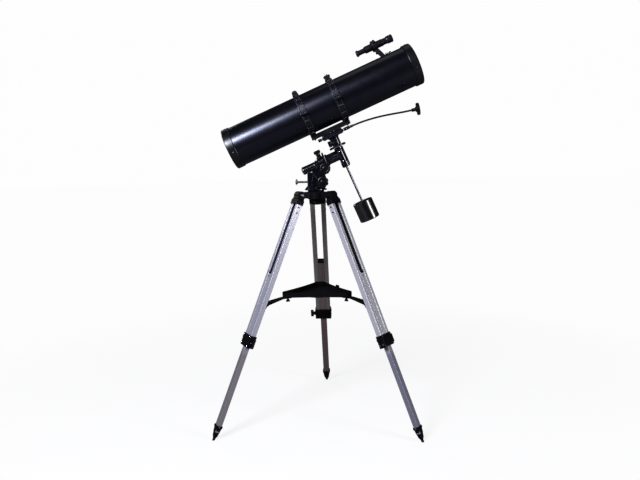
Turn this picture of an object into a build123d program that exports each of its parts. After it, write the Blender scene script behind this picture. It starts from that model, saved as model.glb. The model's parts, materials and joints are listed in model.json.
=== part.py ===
from build123d import *
import os
from math import cos, radians, sin, tan

# A 130 mm Newtonian telescope on a German equatorial mount and a folding tripod.
# Millimetres, +Z up, feet on z = 0. The tube and the polar axis lie in the XZ plane through the hub.

# Driving dimensions
HUB_X, HUB_Y = -5.0, -103.0      # the tripod's centre line
TRIPOD_TURN = 3.9                # the rear leg's direction from +Y towards +X, degrees
LEG_TILT = 22.87                 # each leg from the vertical, degrees
PIVOT_R, PIVOT_Z = 74.5, 965.0   # a leg's pivot from the centre line, and its height
ALTITUDE = 23.36                 # the polar axis and the tube above the horizon, degrees
CENTRE_X, CENTRE_Z = 25.3, 1320.8   # where the declination axis meets the tube's axis
GAP = 0.3                        # between bodies that pass each other
RUN = 0.05                       # radial clearance of a shaft in its bore

# Tripod, distances down a leg from its pivot
LUG_W, LUG_R = 24.0, 12.0
BOLT_R = 4.0
HEAD_TOP, HEAD_END = 14.0, 40.0
HOOD_R = 17.0
HEAD_W, HEAD_T = 70.0, 27.0
RAIL_W, RAIL_T, RAIL_WALL = 19.0, 22.0, 2.0
SLOT_W = 28.0
CHANNEL_W = 12.0                 # the opening of each rail towards the slot
RAIL_START, RAIL_END = 24.0, 616.0
CLAMP_START, CLAMP_END = 602.0, 652.0
CLAMP_W, CLAMP_T = 74.0, 30.0
CLAMP_KNOB_D = 630.0
INNER_START, INNER_END = 331.0, 1012.0
INNER_W, INNER_T = SLOT_W - 2 * GAP, 20.0
FOOT_START, FOOT_TAPER, FOOT_R = 985.0, 1030.0, 5.0
ARM_D, ARM_N = 467.0, -20.0      # the tray arm's hinge: down the leg, and inwards from it
ARM_PIN_R = 2.5
ARM_W, ARM_T = 24.0, 5.0
TRAY_TOP, TRAY_BOTTOM = 568.0, 548.0
TRAY_CORNER_R, TRAY_ROUND, TRAY_WAIST = 162.0, 24.0, 86.0
TRAY_WALL = 3.0

# Hub and latitude fork
DRUM_R, DRUM_Z, DRUM_TOP = 34.0, 947.0, 985.0
SPIGOT_R = 8.0
LAT_X, LAT_Z = 27.7, 1019.0      # the latitude pivot from the hub's centre line
CHEEK_IN, CHEEK_OUT = 14.5, 24.0
LAT_PIN_R = 6.0

# Polar axis, declination axis and tube: distances t along the tube, n above its axis
RA_N = -206.0
RA_T0, RA_T1 = -174.0, -76.0
RA_SHAFT_R = 9.0
WHEEL_R, WORM_R, WORM_SHAFT_R = 17.8, 6.5, 4.0
WORM_OFFSET = WHEEL_R + WORM_R + GAP
WHEEL_CAVITY_R, WORM_CAVITY_R = 19.0, 7.0
RA_WORM_T = -88.0
RA_CIRCLE_R, DEC_CIRCLE_R = 38.0, 35.0
RA_LOCK_N = 40.0                 # the polar lock's boss, above the polar axis
DEC_LOCK_N, DEC_LOCK_TURN = -152.0, 220.0
DEC_SHAFT_R, DEC_SPIGOT_R = 8.0, 12.0
DEC_WORM_N = -121.0
HEAD_BOTTOM_N, SADDLE_N, BAR_TOP_N = -166.0, -108.0, -89.0
CW_BAR_R, CW_R, CW_TOP_N, CW_BOTTOM_N = 4.5, 42.0, -420.0, -503.0

TUBE_R, TUBE_WALL = 82.0, 1.5
TUBE_T0, TUBE_T1 = -412.0, 426.0
MIRROR_R, MIRROR_T = 65.0, 18.0
MIRROR_CURVE_R = 1800.0
RING_TS = {"rear": -72.0, "front": 75.0}
RING_W, RING_IN, RING_OUT = 25.0, TUBE_R + GAP, 92.0
HINGE_Y, HINGE_R, HINGE_PIN_R = -97.5, 5.5, 2.0
CLAMP_Y = 100.0
STUD_R = 3.175
FOCUS_T = 300.0
DRAW_R, SOCKET_R = 19.0, 15.93
FINDER_N, FINDER_Y = 140.0, 55.0
CABLE_R = 3.5
CABLE_ROUTE = [                  # t, n and y of each point of the declination control cable
    (74.3, -121.0, -24.6),
    (112.0, -121.9, -24.9),
    (158.0, -126.4, -26.0),
    (205.0, -134.4, -28.2),
    (252.0, -145.6, -31.4),
    (296.0, -157.6, -35.2),
    (330.0, -165.4, -38.6),
]

UPWARD = Vector(0, 0, 1)
WIDE = Vector(0, 1, 0)
HUB = Vector(HUB_X, HUB_Y, 0)
CENTRE = Vector(HUB_X + CENTRE_X, HUB_Y, CENTRE_Z)
AXIS = Vector(cos(radians(ALTITUDE)), 0, sin(radians(ALTITUDE)))
RAISED = Vector(-sin(radians(ALTITUDE)), 0, cos(radians(ALTITUDE)))
BASE = (Align.CENTER, Align.CENTER, Align.MIN)

os.makedirs("parts", exist_ok=True)


def place(t, n=0.0, y=0.0):
    """A point t along the tube, n above its axis and y across it."""
    return CENTRE + AXIS * t + RAISED * n + WIDE * y


def along(t, n=0.0, y=0.0):
    """A plane square to the tube: local x is +Y, local y is away from the mount."""
    return Plane(origin=place(t, n, y), x_dir=WIDE, z_dir=AXIS)


def across(n, t=0.0, y=0.0):
    """A plane square to the declination axis: local x is along the tube, local y is +Y."""
    return Plane(origin=place(t, n, y), x_dir=AXIS, z_dir=RAISED)


def facing(y, t=0.0, n=0.0):
    """A plane that faces -Y: local x is along the tube, local y is away from the mount."""
    return Plane(origin=place(t, n, y), x_dir=AXIS, z_dir=-WIDE)


def rearward(y, t=0.0, n=0.0):
    """A plane that faces +Y: local x is along the tube, local y is towards the mount."""
    return Plane(origin=place(t, n, y), x_dir=AXIS, z_dir=WIDE)


def spoke(plane, angle, radius):
    """A plane that faces out from another plane's centre line, at an angle from its local x."""
    out = plane.x_dir * cos(radians(angle)) + plane.y_dir * sin(radians(angle))
    return Plane(origin=plane.origin + out * radius, x_dir=plane.z_dir, z_dir=out)


def level(z):
    """A horizontal plane on the hub's centre line."""
    return Plane(origin=HUB + UPWARD * z)


def upright(y):
    """A plane that faces -Y through the hub's centre line: local x is +X, local y is +Z."""
    return Plane(origin=HUB + WIDE * y, x_dir=(1, 0, 0), z_dir=(0, -1, 0))


def rod(plane, radius, length, mode=Mode.ADD):
    """A round bar that stands on the plane."""
    with Locations(plane):
        Cylinder(radius, length, align=BASE, mode=mode)


def block(plane, width, depth, length, mode=Mode.ADD):
    """A rectangular bar that stands on the plane."""
    with Locations(plane):
        Box(width, depth, length, align=BASE, mode=mode)


def turned(plane, points, mode=Mode.ADD):
    """A solid of revolution about the plane's normal, from (radius, height) points."""
    with BuildSketch(Plane(origin=plane.origin, x_dir=plane.x_dir, z_dir=-plane.y_dir)) as half:
        with BuildLine():
            Polyline(*points, close=True)
        make_face()
    revolve(half.sketch, axis=Axis(plane.origin, plane.z_dir), mode=mode)


def disc(plane, radius, height, edge=1.0, bore=0.0, mode=Mode.ADD):
    """A disc or ring with chamfered outer rims."""
    rim = [(radius - edge, 0), (radius, edge), (radius, height - edge), (radius - edge, height)]
    turned(plane, [(bore, 0)] + rim + [(bore, height)], mode)


def scalloped(plane, radius, height, lobes, edge=1.5, bite=4.0):
    """A round hand knob with finger scallops round its rim."""
    disc(plane, radius, height, edge)
    with Locations(plane):
        with PolarLocations(radius + bite * 0.45, lobes):
            Cylinder(bite, height, align=BASE, mode=Mode.SUBTRACT)


def wing(plane, length, width, height):
    """A two-eared wing on top of a thumb screw."""
    with BuildSketch(plane) as ears:
        SlotOverall(length, width)
    extrude(ears.sketch, amount=height)


# ---------------------------------------------------------------- tripod
class Leg:
    """One leg's directions: out from the hub, round it, down the leg and square to its face."""

    def __init__(self, name, angle):
        turn = radians(angle + TRIPOD_TURN)
        tilt = radians(LEG_TILT)
        self.name = name
        self.out = Vector(sin(turn), cos(turn), 0)
        self.round = UPWARD.cross(self.out)
        self.down = self.out * sin(tilt) - UPWARD * cos(tilt)
        self.face = self.out * cos(tilt) + UPWARD * sin(tilt)
        self.pivot = HUB + self.out * PIVOT_R + UPWARD * PIVOT_Z

    def place(self, d, n=0.0, w=0.0):
        return self.pivot + self.down * d + self.face * n + self.round * w

    def section(self, d, n=0.0, w=0.0):
        """Square to the leg: local x is round the hub, local y is the leg's outer face."""
        return Plane(origin=self.place(d, n, w), x_dir=self.round, z_dir=self.down)

    def flank(self, w, d=0.0, n=0.0):
        """The leg's side: local x is down the leg, local y is its outer face."""
        return Plane(origin=self.place(d, n, w), x_dir=self.down, z_dir=-self.round)

    def upright(self, w):
        """A vertical plane through the centre line: local x is the radius, local y is height."""
        return Plane(origin=HUB + self.round * w, x_dir=self.out, z_dir=-self.round)


LEGS = [Leg("left", 240.0), Leg("right", 120.0), Leg("rear", 0.0)]


def make_hub():
    with BuildPart() as tripod_hub:
        disc(level(DRUM_Z), DRUM_R, DRUM_TOP - DRUM_Z, 2.0)
        for leg in LEGS:
            with BuildSketch(leg.upright(LUG_W / 2)) as lug:
                with BuildLine():
                    Polyline((15, PIVOT_Z - 14), (PIVOT_R, PIVOT_Z - LUG_R), (PIVOT_R, PIVOT_Z + LUG_R),
                             (15, PIVOT_Z + 14), close=True)
                make_face()
                with Locations((PIVOT_R, PIVOT_Z)):
                    Circle(LUG_R)
            extrude(lug.sketch, amount=LUG_W)
            rod(leg.flank(LUG_W / 2 + 1), BOLT_R + RUN, LUG_W + 2, Mode.SUBTRACT)
        rod(level(DRUM_Z - 1), SPIGOT_R + RUN, DRUM_TOP - DRUM_Z + 2, Mode.SUBTRACT)
    tripod_hub.part.label = "tripod_hub"
    export_step(tripod_hub.part, "parts/tripod_hub.step")


def make_pivot_bolts():
    reach = LUG_W / 2 + GAP + 9 + GAP
    with BuildPart() as pivot_bolts:
        for leg in LEGS:
            rod(leg.flank(reach), BOLT_R, 2 * reach)
            disc(leg.flank(reach + 6), 7.5, 6)
            disc(leg.flank(-reach), 7.5, 6)
    pivot_bolts.part.label = "pivot_bolts"
    export_step(pivot_bolts.part, "parts/pivot_bolts.step")


def make_leg_head(leg):
    inside = LUG_W / 2 + GAP
    with BuildPart() as leg_head:
        with BuildSketch(leg.flank(inside + 9)) as hood:
            Circle(HOOD_R)
            with Locations((HEAD_TOP / 2 + 2, 0)):
                Rectangle(HEAD_TOP + 4, HEAD_T + 3)
        extrude(hood.sketch, amount=2 * (inside + 9))
        with BuildSketch(leg.section(HEAD_TOP)) as top:
            RectangleRounded(HEAD_W - 14, HEAD_T, 4)
        with BuildSketch(leg.section(HEAD_TOP + 9)) as shoulder:
            RectangleRounded(HEAD_W, HEAD_T + 1, 4)
        loft([top.sketch.face(), shoulder.sketch.face()])
        extrude(shoulder.sketch, amount=HEAD_END - HEAD_TOP - 9)
        for w in (-1, 1):
            block(leg.section(RAIL_START, 0, w * (SLOT_W + RAIL_W) / 2), RAIL_W, RAIL_T,
                  HEAD_END - RAIL_START + 1, Mode.SUBTRACT)
        with BuildSketch(leg.flank(inside)) as lug_slot:
            Circle(LUG_R + 0.8)
            with BuildLine():
                Polyline((-12.5, 4), (-27, -24), (14, -24), (13, 4), close=True)
            make_face()
        extrude(lug_slot.sketch, amount=2 * inside, mode=Mode.SUBTRACT)
        rod(leg.flank(inside + 10), BOLT_R + RUN, 2 * inside + 20, Mode.SUBTRACT)
    leg_head.part.label = f"leg_head_{leg.name}"
    export_step(leg_head.part, f"parts/leg_head_{leg.name}.step")


def make_leg_rails(leg):
    with BuildPart() as leg_rails:
        with BuildSketch(leg.section(RAIL_START)) as rails:
            with Locations((-(SLOT_W + RAIL_W) / 2, 0), ((SLOT_W + RAIL_W) / 2, 0)):
                RectangleRounded(RAIL_W, RAIL_T, 2.0)
                Rectangle(RAIL_W - 2 * RAIL_WALL, RAIL_T - 2 * RAIL_WALL, mode=Mode.SUBTRACT)
            with Locations((-(SLOT_W + RAIL_WALL) / 2, 0), ((SLOT_W + RAIL_WALL) / 2, 0)):
                Rectangle(RAIL_WALL + 1, CHANNEL_W, mode=Mode.SUBTRACT)
        extrude(rails.sketch, amount=RAIL_END - RAIL_START)
        plate_n = -RAIL_T / 2 - 3
        block(leg.section(ARM_D - 14, plate_n + 1.5), 2 * RAIL_W + SLOT_W - 6, 3, 28)
        lug_w = ARM_W / 2 + GAP
        for w in (lug_w + 4, -lug_w):
            with BuildSketch(leg.flank(w, ARM_D, 0)) as ear:
                with Locations((0, ARM_N)):
                    Circle(6)
                with Locations((0, (plate_n + ARM_N) / 2)):
                    Rectangle(12, plate_n - ARM_N)
            extrude(ear.sketch, amount=4)
        rod(leg.flank(lug_w + 4, ARM_D, ARM_N), ARM_PIN_R, 2 * lug_w + 8)
    leg_rails.part.label = f"leg_rails_{leg.name}"
    export_step(leg_rails.part, f"parts/leg_rails_{leg.name}.step")


def make_leg_clamp(leg):
    height = CLAMP_END - CLAMP_START
    with BuildPart() as leg_clamp:
        with BuildSketch(leg.section(CLAMP_START)) as outline:
            RectangleRounded(CLAMP_W, CLAMP_T, 4)
        extrude(outline.sketch, amount=height)
        with BuildSketch(leg.section(CLAMP_START + 12)) as band:
            RectangleRounded(CLAMP_W + 3, CLAMP_T + 3, 5)
        extrude(band.sketch, amount=8)
        rod(leg.flank(CLAMP_W / 2 + 4, CLAMP_KNOB_D), 9, 12)
        block(leg.section(CLAMP_START - 1), SLOT_W, INNER_T + 2 * GAP, height + 2, Mode.SUBTRACT)
        for w in (-1, 1):
            block(leg.section(CLAMP_START - 1, 0, w * (SLOT_W + RAIL_W) / 2), RAIL_W, RAIL_T,
                  RAIL_END - CLAMP_START + 1, Mode.SUBTRACT)
        rod(leg.flank(CLAMP_W / 2 + 5, CLAMP_KNOB_D), BOLT_R + RUN, CLAMP_W / 2 + 5, Mode.SUBTRACT)
    leg_clamp.part.label = f"leg_clamp_{leg.name}"
    export_step(leg_clamp.part, f"parts/leg_clamp_{leg.name}.step")


def make_clamp_knob(leg):
    tip = INNER_W / 2 + 2 * GAP
    shoulder = CLAMP_W / 2 + 4 + GAP
    with BuildPart() as clamp_knob:
        rod(leg.flank(shoulder, CLAMP_KNOB_D), BOLT_R, shoulder - tip)
        disc(leg.flank(shoulder + 6, CLAMP_KNOB_D), 8, 6)
        wing(leg.flank(shoulder + 18, CLAMP_KNOB_D), 36, 10, 12)
    clamp_knob.part.label = f"clamp_knob_{leg.name}"
    export_step(clamp_knob.part, f"parts/clamp_knob_{leg.name}.step")


def make_inner_leg(leg):
    with BuildPart() as inner_leg:
        with BuildSketch(leg.section(INNER_START)) as tube:
            RectangleRounded(INNER_W, INNER_T, 1.5)
            Rectangle(INNER_W - 4, INNER_T - 4, mode=Mode.SUBTRACT)
        extrude(tube.sketch, amount=INNER_END - INNER_START)
    inner_leg.part.label = f"inner_leg_{leg.name}"
    export_step(inner_leg.part, f"parts/inner_leg_{leg.name}.step")


def make_foot(leg):
    tip = PIVOT_Z / cos(radians(LEG_TILT))
    with BuildPart() as foot:
        with BuildSketch(leg.section(FOOT_START)) as collar:
            RectangleRounded(INNER_W + 7, INNER_T + 7, 4)
        extrude(collar.sketch, amount=8)
        with BuildSketch(leg.section(FOOT_START + 8)) as boot:
            RectangleRounded(INNER_W + 4, INNER_T + 4, 4)
        with BuildSketch(leg.section(FOOT_TAPER)) as toe:
            RectangleRounded(21, 17, 6)
        loft([boot.sketch.face(), toe.sketch.face()])
        turned(leg.section(FOOT_TAPER), [(0, 0), (8, 0), (8, 4), (FOOT_R, 9), (FOOT_R, tip - FOOT_TAPER + 4),
                                         (0, tip - FOOT_TAPER + 4)])
        block(leg.section(FOOT_START - 1), INNER_W, INNER_T, INNER_END - FOOT_START + 1, Mode.SUBTRACT)
        split(bisect_by=Plane.XY, keep=Keep.TOP)
    foot.part.label = f"foot_{leg.name}"
    export_step(foot.part, f"parts/foot_{leg.name}.step")


def make_tray_arm(leg):
    tilt = radians(LEG_TILT)
    hinge_r = PIVOT_R + ARM_D * sin(tilt) + ARM_N * cos(tilt)
    hinge_z = PIVOT_Z - ARM_D * cos(tilt) + ARM_N * sin(tilt)
    top = TRAY_BOTTOM - GAP
    bend_r, end_r, screw_r = TRAY_CORNER_R + 4, 128.0, 140.0
    with BuildPart() as tray_arm:
        with BuildSketch(leg.upright(ARM_W / 2)) as bar:
            with BuildLine():
                Polyline((hinge_r, hinge_z + 9), (bend_r, top), (end_r, top), (end_r, top - ARM_T),
                         (bend_r - 1, top - ARM_T), (hinge_r, hinge_z - 5), close=True)
            make_face()
            with Locations((hinge_r, hinge_z)):
                Circle(5)
                Circle(ARM_PIN_R + RUN, mode=Mode.SUBTRACT)
        extrude(bar.sketch, amount=ARM_W)
        screw = Plane(origin=HUB + leg.out * screw_r + UPWARD * (top - 14))
        rod(screw, 3.0, 14, Mode.SUBTRACT)
        rod(screw, 3.0, 14)
        disc(screw, 5, 5)
        wing(Plane(origin=screw.origin - UPWARD * 6, x_dir=leg.out), 17, 6, 6)
    tray_arm.part.label = f"tray_arm_{leg.name}"
    export_step(tray_arm.part, f"parts/tray_arm_{leg.name}.step")


def tray_outline(inset):
    """Three rounded corners joined by hollow sides, drawn inset from the tray's rim."""
    centre_r = TRAY_CORNER_R - TRAY_ROUND
    curve = TRAY_ROUND - inset

    def polar(radius, angle):
        return Vector(radius * sin(radians(angle)), radius * cos(radians(angle)))

    with BuildLine() as rim:
        for corner in (0, 120, 240):
            heading = corner + TRIPOD_TURN
            middle = polar(centre_r, heading)
            start = middle + polar(curve, heading - 62)
            end = middle + polar(curve, heading + 62)
            ThreePointArc(start, middle + polar(curve, heading), end)
            following = polar(centre_r, heading + 120) + polar(curve, heading + 120 - 62)
            ThreePointArc(end, polar(TRAY_WAIST - inset, heading + 60), following)
    return rim.edges()


def make_tray():
    with BuildPart() as tray:
        with BuildSketch(level(TRAY_BOTTOM)) as outside:
            make_face(tray_outline(0))
        extrude(outside.sketch, amount=TRAY_TOP - TRAY_BOTTOM)
        with BuildSketch(level(TRAY_BOTTOM + TRAY_WALL)) as inside:
            make_face(tray_outline(TRAY_WALL))
        extrude(inside.sketch, amount=TRAY_TOP - TRAY_BOTTOM, mode=Mode.SUBTRACT)
        turned(level(TRAY_BOTTOM - 7), [(0, 0), (62, 0), (82, 7), (82, 8), (0, 8)])
        for leg in LEGS:
            rod(Plane(origin=HUB + leg.out * 140 + UPWARD * TRAY_BOTTOM), 7, 9)
    tray.part.label = "tray"
    export_step(tray.part, "parts/tray.step")


# ---------------------------------------------------------------- hub, fork and polar axis
def latitude_line(y):
    """The latitude pivot's axis runs along Y."""
    return Plane(origin=HUB + Vector(LAT_X, y, LAT_Z), x_dir=(1, 0, 0), z_dir=(0, -1, 0))


def make_azimuth_fork():
    base_z = DRUM_TOP + GAP
    with BuildPart() as azimuth_fork:
        turned(level(base_z), [(0, 0), (45, 0), (46, 1), (46, 3), (38, 7), (30, 13), (0, 13)])
        block(level(base_z + 9), 100, 2 * CHEEK_IN, 10, Mode.SUBTRACT)
        rod(level(DRUM_Z - 22), SPIGOT_R, base_z - DRUM_Z + 22)
        for y in (CHEEK_OUT, -CHEEK_IN):
            with BuildSketch(upright(y)) as cheek:
                with BuildLine():
                    Polyline((-34, base_z + 5), (26, base_z + 3), (45, LAT_Z - 3), (LAT_X, LAT_Z + 16),
                             (8, LAT_Z + 14), (-12, LAT_Z + 38), (-34, LAT_Z + 42), close=True)
                make_face()
                with Locations((LAT_X, LAT_Z)):
                    Circle(18)
            extrude(cheek.sketch, amount=CHEEK_OUT - CHEEK_IN)
        block(level(LAT_Z + 17), 90, 33.6, 40, Mode.SUBTRACT)
        back = Plane(origin=HUB + Vector(-34, 0, LAT_Z), x_dir=(0, 1, 0), z_dir=(1, 0, 0))
        with BuildSketch(back) as wall:
            with Locations((0, -5)):
                Rectangle(2 * CHEEK_OUT, 44)
        extrude(wall.sketch, amount=11)
        rod(back, 4 + RUN, 20, Mode.SUBTRACT)
        rod(latitude_line(CHEEK_OUT + 1), LAT_PIN_R + RUN, 2 * CHEEK_OUT + 2, Mode.SUBTRACT)
        scalloped(level(DRUM_Z - 22), 20, 14, 7)
    azimuth_fork.part.label = "azimuth_fork"
    export_step(azimuth_fork.part, "parts/azimuth_fork.step")


def make_latitude_bolt():
    start = Plane(origin=HUB + Vector(-84, 0, LAT_Z), x_dir=(0, 1, 0), z_dir=(1, 0, 0))
    with BuildPart() as latitude_bolt:
        rod(start, 4, 78)
        disc(start, 7, 10)
        rod(Plane(origin=start.origin + Vector(5, 0, -13)), 3.2, 26)
    latitude_bolt.part.label = "latitude_bolt"
    export_step(latitude_bolt.part, "parts/latitude_bolt.step")


def make_latitude_lock():
    with BuildPart() as latitude_lock:
        rod(latitude_line(CHEEK_OUT + 8), LAT_PIN_R, 2 * CHEEK_OUT + 14)
        with BuildSketch(latitude_line(CHEEK_OUT + 8)) as nut:
            RegularPolygon(10, 6)
        extrude(nut.sketch, amount=8 - GAP)
        disc(latitude_line(-CHEEK_OUT - GAP), 13, 6)
        scalloped(latitude_line(-CHEEK_OUT - 6), 25, 15, 8, 2.0, 5.5)
        disc(latitude_line(-CHEEK_OUT - 21), 12, 3)
    latitude_lock.part.label = "latitude_lock"
    export_step(latitude_lock.part, "parts/latitude_lock.step")


def ra_worm_line(y):
    """The polar worm's axis runs along Y under the polar shaft."""
    return facing(y, RA_WORM_T, RA_N - WORM_OFFSET)


def make_ra_housing():
    pivot = Vector(HUB_X + LAT_X, HUB_Y, LAT_Z) - CENTRE
    pivot_t, pivot_n = pivot.dot(AXIS), pivot.dot(RAISED)
    with BuildPart() as ra_housing:
        turned(along(RA_T0, RA_N), [(0, 0), (14, 0), (16, 2), (16, 58), (19, 62), (19, 68), (26, 74), (26, 96),
                                    (24, 98), (0, 98)])
        with BuildSketch(facing(CHEEK_IN - GAP)) as lug:
            with BuildLine():
                Polyline((-140, RA_N - 12), (-94, RA_N - 12), (pivot_t + 21.5, pivot_n + 4),
                         (pivot_t - 21.5, pivot_n + 4), close=True)
            make_face()
            with Locations((pivot_t, pivot_n)):
                Circle(22)
        extrude(lug.sketch, amount=2 * (CHEEK_IN - GAP))
        rod(ra_worm_line(20), 11, 50)
        disc(ra_worm_line(24), 8, 5)
        rod(along(RA_T0 + 6, RA_N), RA_SHAFT_R + RUN, 100, Mode.SUBTRACT)
        rod(along(RA_WORM_T - 7, RA_N), WHEEL_CAVITY_R, 14, Mode.SUBTRACT)
        rod(ra_worm_line(14), WORM_CAVITY_R, 28, Mode.SUBTRACT)
        rod(ra_worm_line(17), WORM_SHAFT_R + RUN, 50, Mode.SUBTRACT)
        rod(facing(CHEEK_OUT, pivot_t, pivot_n), LAT_PIN_R + RUN, 2 * CHEEK_OUT, Mode.SUBTRACT)
        rod(across(RA_N + 20, RA_WORM_T), 9, RA_LOCK_N - 20)
        rod(across(RA_N + 17, RA_WORM_T), 3 + RUN, RA_LOCK_N - 16, Mode.SUBTRACT)
    ra_housing.part.label = "ra_housing"
    export_step(ra_housing.part, "parts/ra_housing.step")


def make_ra_drive():
    with BuildPart() as ra_worm:
        rod(ra_worm_line(16), WORM_SHAFT_R, 60)
        disc(ra_worm_line(12), WORM_R, 24)
    ra_worm.part.label = "ra_worm"
    export_step(ra_worm.part, "parts/ra_worm.step")

    with BuildPart() as ra_control:
        rod(ra_worm_line(-44), 4.5, 76)
        disc(ra_worm_line(-32), 7, 18)
        rod(ra_worm_line(-31), WORM_SHAFT_R, 13, Mode.SUBTRACT)
        disc(ra_worm_line(-120), 9, 9)
        scalloped(ra_worm_line(-128), 24, 11, 12, 2.0, 3.0)
    ra_control.part.label = "ra_control"
    export_step(ra_control.part, "parts/ra_control.step")


def make_polar_shaft():
    with BuildPart() as polar_shaft:
        rod(along(RA_T0 + 8, RA_N), RA_SHAFT_R, 138)
        disc(along(RA_WORM_T - 5, RA_N), WHEEL_R, 10)
    polar_shaft.part.label = "polar_shaft"
    export_step(polar_shaft.part, "parts/polar_shaft.step")


def make_ra_lock():
    with BuildPart() as ra_lock:
        rod(across(RA_N + WHEEL_R + GAP, RA_WORM_T), 3, RA_LOCK_N - WHEEL_R + 4)
        scalloped(across(RA_N + RA_LOCK_N + GAP, RA_WORM_T), 14, 14, 6, 2.5, 3.0)
    ra_lock.part.label = "ra_lock"
    export_step(ra_lock.part, "parts/ra_lock.step")


def make_setting_circles():
    with BuildPart() as ra_circle:
        turned(along(RA_T1 + GAP, RA_N), [(RA_SHAFT_R + RUN, 0), (28, 0), (RA_CIRCLE_R - 2, 2), (RA_CIRCLE_R, 4),
                                          (RA_CIRCLE_R, 8), (30, 8), (30, 5), (RA_SHAFT_R + RUN, 5)])
    ra_circle.part.label = "ra_circle"
    export_step(ra_circle.part, "parts/ra_circle.step")

    with BuildPart() as dec_circle:
        turned(across(HEAD_BOTTOM_N - 10), [(DEC_SPIGOT_R + RUN, 0), (DEC_CIRCLE_R, 0), (DEC_CIRCLE_R, 7),
                                            (DEC_CIRCLE_R - 2, 9), (DEC_SPIGOT_R + RUN, 9)])
    dec_circle.part.label = "dec_circle"
    export_step(dec_circle.part, "parts/dec_circle.step")


# ---------------------------------------------------------------- declination axis
def dec_worm_line(t):
    """The declination worm's axis runs along the tube, on the -Y side of the shaft."""
    return along(t, DEC_WORM_N, -WORM_OFFSET)


def dec_lock_line(radius):
    """The declination lock points at the shaft from the -Y side of the head."""
    return spoke(across(DEC_LOCK_N), DEC_LOCK_TURN, radius)


def make_dec_housing():
    neck_t = RA_T1 + 9
    with BuildPart() as dec_housing:
        turned(along(neck_t, RA_N), [(0, 0), (24, 0), (25, 1), (25, 6), (18, 14), (16, 34), (16, 60), (0, 60)])
        for n in (-13, 13):
            block(along(neck_t + 5, RA_N + n), 5, 16, 50)
        for y in (-13, 13):
            block(along(neck_t + 5, RA_N, y), 16, 5, 50)
        turned(across(-264), [(0, 0), (11, 0), (16.5, 3), (16.5, 22), (14.5, 24), (15, 74), (19, 80), (19, 87),
                              (DEC_SPIGOT_R, 87), (DEC_SPIGOT_R, 149), (0, 149)])
        block(across(-258, 15.5), 6, 15, 76)
        rod(along(neck_t - 1, RA_N), RA_SHAFT_R, RA_T0 + 146 - neck_t + 1, Mode.SUBTRACT)
        rod(across(-244), DEC_SHAFT_R + RUN, 130, Mode.SUBTRACT)
        rod(across(-265), CW_BAR_R, 15, Mode.SUBTRACT)
    dec_housing.part.label = "dec_housing"
    export_step(dec_housing.part, "parts/dec_housing.step")


def make_dec_head():
    with BuildPart() as dec_head:
        turned(across(HEAD_BOTTOM_N), [(0, 0), (17, 0), (19, 2), (19, 30), (26, 39), (26, 58), (0, 58)])
        with BuildSketch(across(SADDLE_N - 6)) as table:
            RectangleRounded(84, 44, 6)
        extrude(table.sketch, amount=6)
        rod(dec_worm_line(-42), 10, 84)
        disc(dec_worm_line(-46), 7, 5)
        disc(dec_worm_line(41), 7, 5)
        rod(dec_lock_line(16), 7, 8)
        rod(across(HEAD_BOTTOM_N - 1), DEC_SPIGOT_R + RUN, 54, Mode.SUBTRACT)
        rod(across(DEC_WORM_N - 7), WHEEL_CAVITY_R, 14, Mode.SUBTRACT)
        rod(dec_worm_line(-14), WORM_CAVITY_R, 28, Mode.SUBTRACT)
        rod(dec_worm_line(-50), WORM_SHAFT_R + RUN, 100, Mode.SUBTRACT)
        rod(dec_lock_line(10), 3 + RUN, 16, Mode.SUBTRACT)
    dec_head.part.label = "dec_head"
    export_step(dec_head.part, "parts/dec_head.step")


def make_dec_drive():
    with BuildPart() as dec_shaft:
        rod(across(-243), DEC_SHAFT_R, HEAD_BOTTOM_N + 53 + 243)
    dec_shaft.part.label = "dec_shaft"
    export_step(dec_shaft.part, "parts/dec_shaft.step")

    with BuildPart() as dec_wheel:
        disc(across(DEC_WORM_N - 5), WHEEL_R, 10, 1.0, DEC_SPIGOT_R)
    dec_wheel.part.label = "dec_wheel"
    export_step(dec_wheel.part, "parts/dec_wheel.step")

    with BuildPart() as dec_worm:
        rod(dec_worm_line(-58), WORM_SHAFT_R, 128)
        disc(dec_worm_line(-12), WORM_R, 24)
        disc(dec_worm_line(-64), 6, 14)
        disc(dec_worm_line(50), 6.5, 24)
    dec_worm.part.label = "dec_worm"
    export_step(dec_worm.part, "parts/dec_worm.step")

    with BuildPart() as dec_lock:
        rod(dec_lock_line(DEC_SPIGOT_R + 2 * GAP), 3, 20)
        disc(dec_lock_line(24 + GAP), 7, 6)
        wing(dec_lock_line(30), 25, 9, 9)
    dec_lock.part.label = "dec_lock"
    export_step(dec_lock.part, "parts/dec_lock.step")


def make_dec_cable():
    route = [place(t, n, y) for t, n, y in CABLE_ROUTE]
    radii = []
    for before, corner, after in zip(route, route[1:], route[2:]):
        arriving, leaving = corner - before, after - corner
        half_turn = radians(arriving.get_angle(leaving)) / 2
        radii.append(0.45 * min(arriving.length, leaving.length) / tan(half_turn))
    print("declination cable radii, mm:", [round(radius) for radius in radii])
    with BuildPart() as dec_cable:
        with BuildLine() as line:
            FilletPolyline(*route, radius=radii)
        with BuildSketch(Plane(origin=line.line @ 0, z_dir=line.line % 0)):
            Circle(CABLE_R)
        sweep()
    print("declination cable length, mm:", round(sum(edge.length for edge in line.edges()), 1))
    dec_cable.part.label = "dec_cable"
    export_step(dec_cable.part, "parts/dec_cable.step")

    heading = (route[-1] - route[-2]).normalized()
    with BuildPart() as dec_knob:
        ferrule = Plane(origin=route[-1] + heading * GAP, x_dir=WIDE, z_dir=heading)
        disc(ferrule, 6.5, 16)
        disc(ferrule.offset(15), 10, 6)
        scalloped(ferrule.offset(20), 24.5, 12, 12, 2.0, 3.0)
    dec_knob.part.label = "dec_knob"
    export_step(dec_knob.part, "parts/dec_knob.step")


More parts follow.
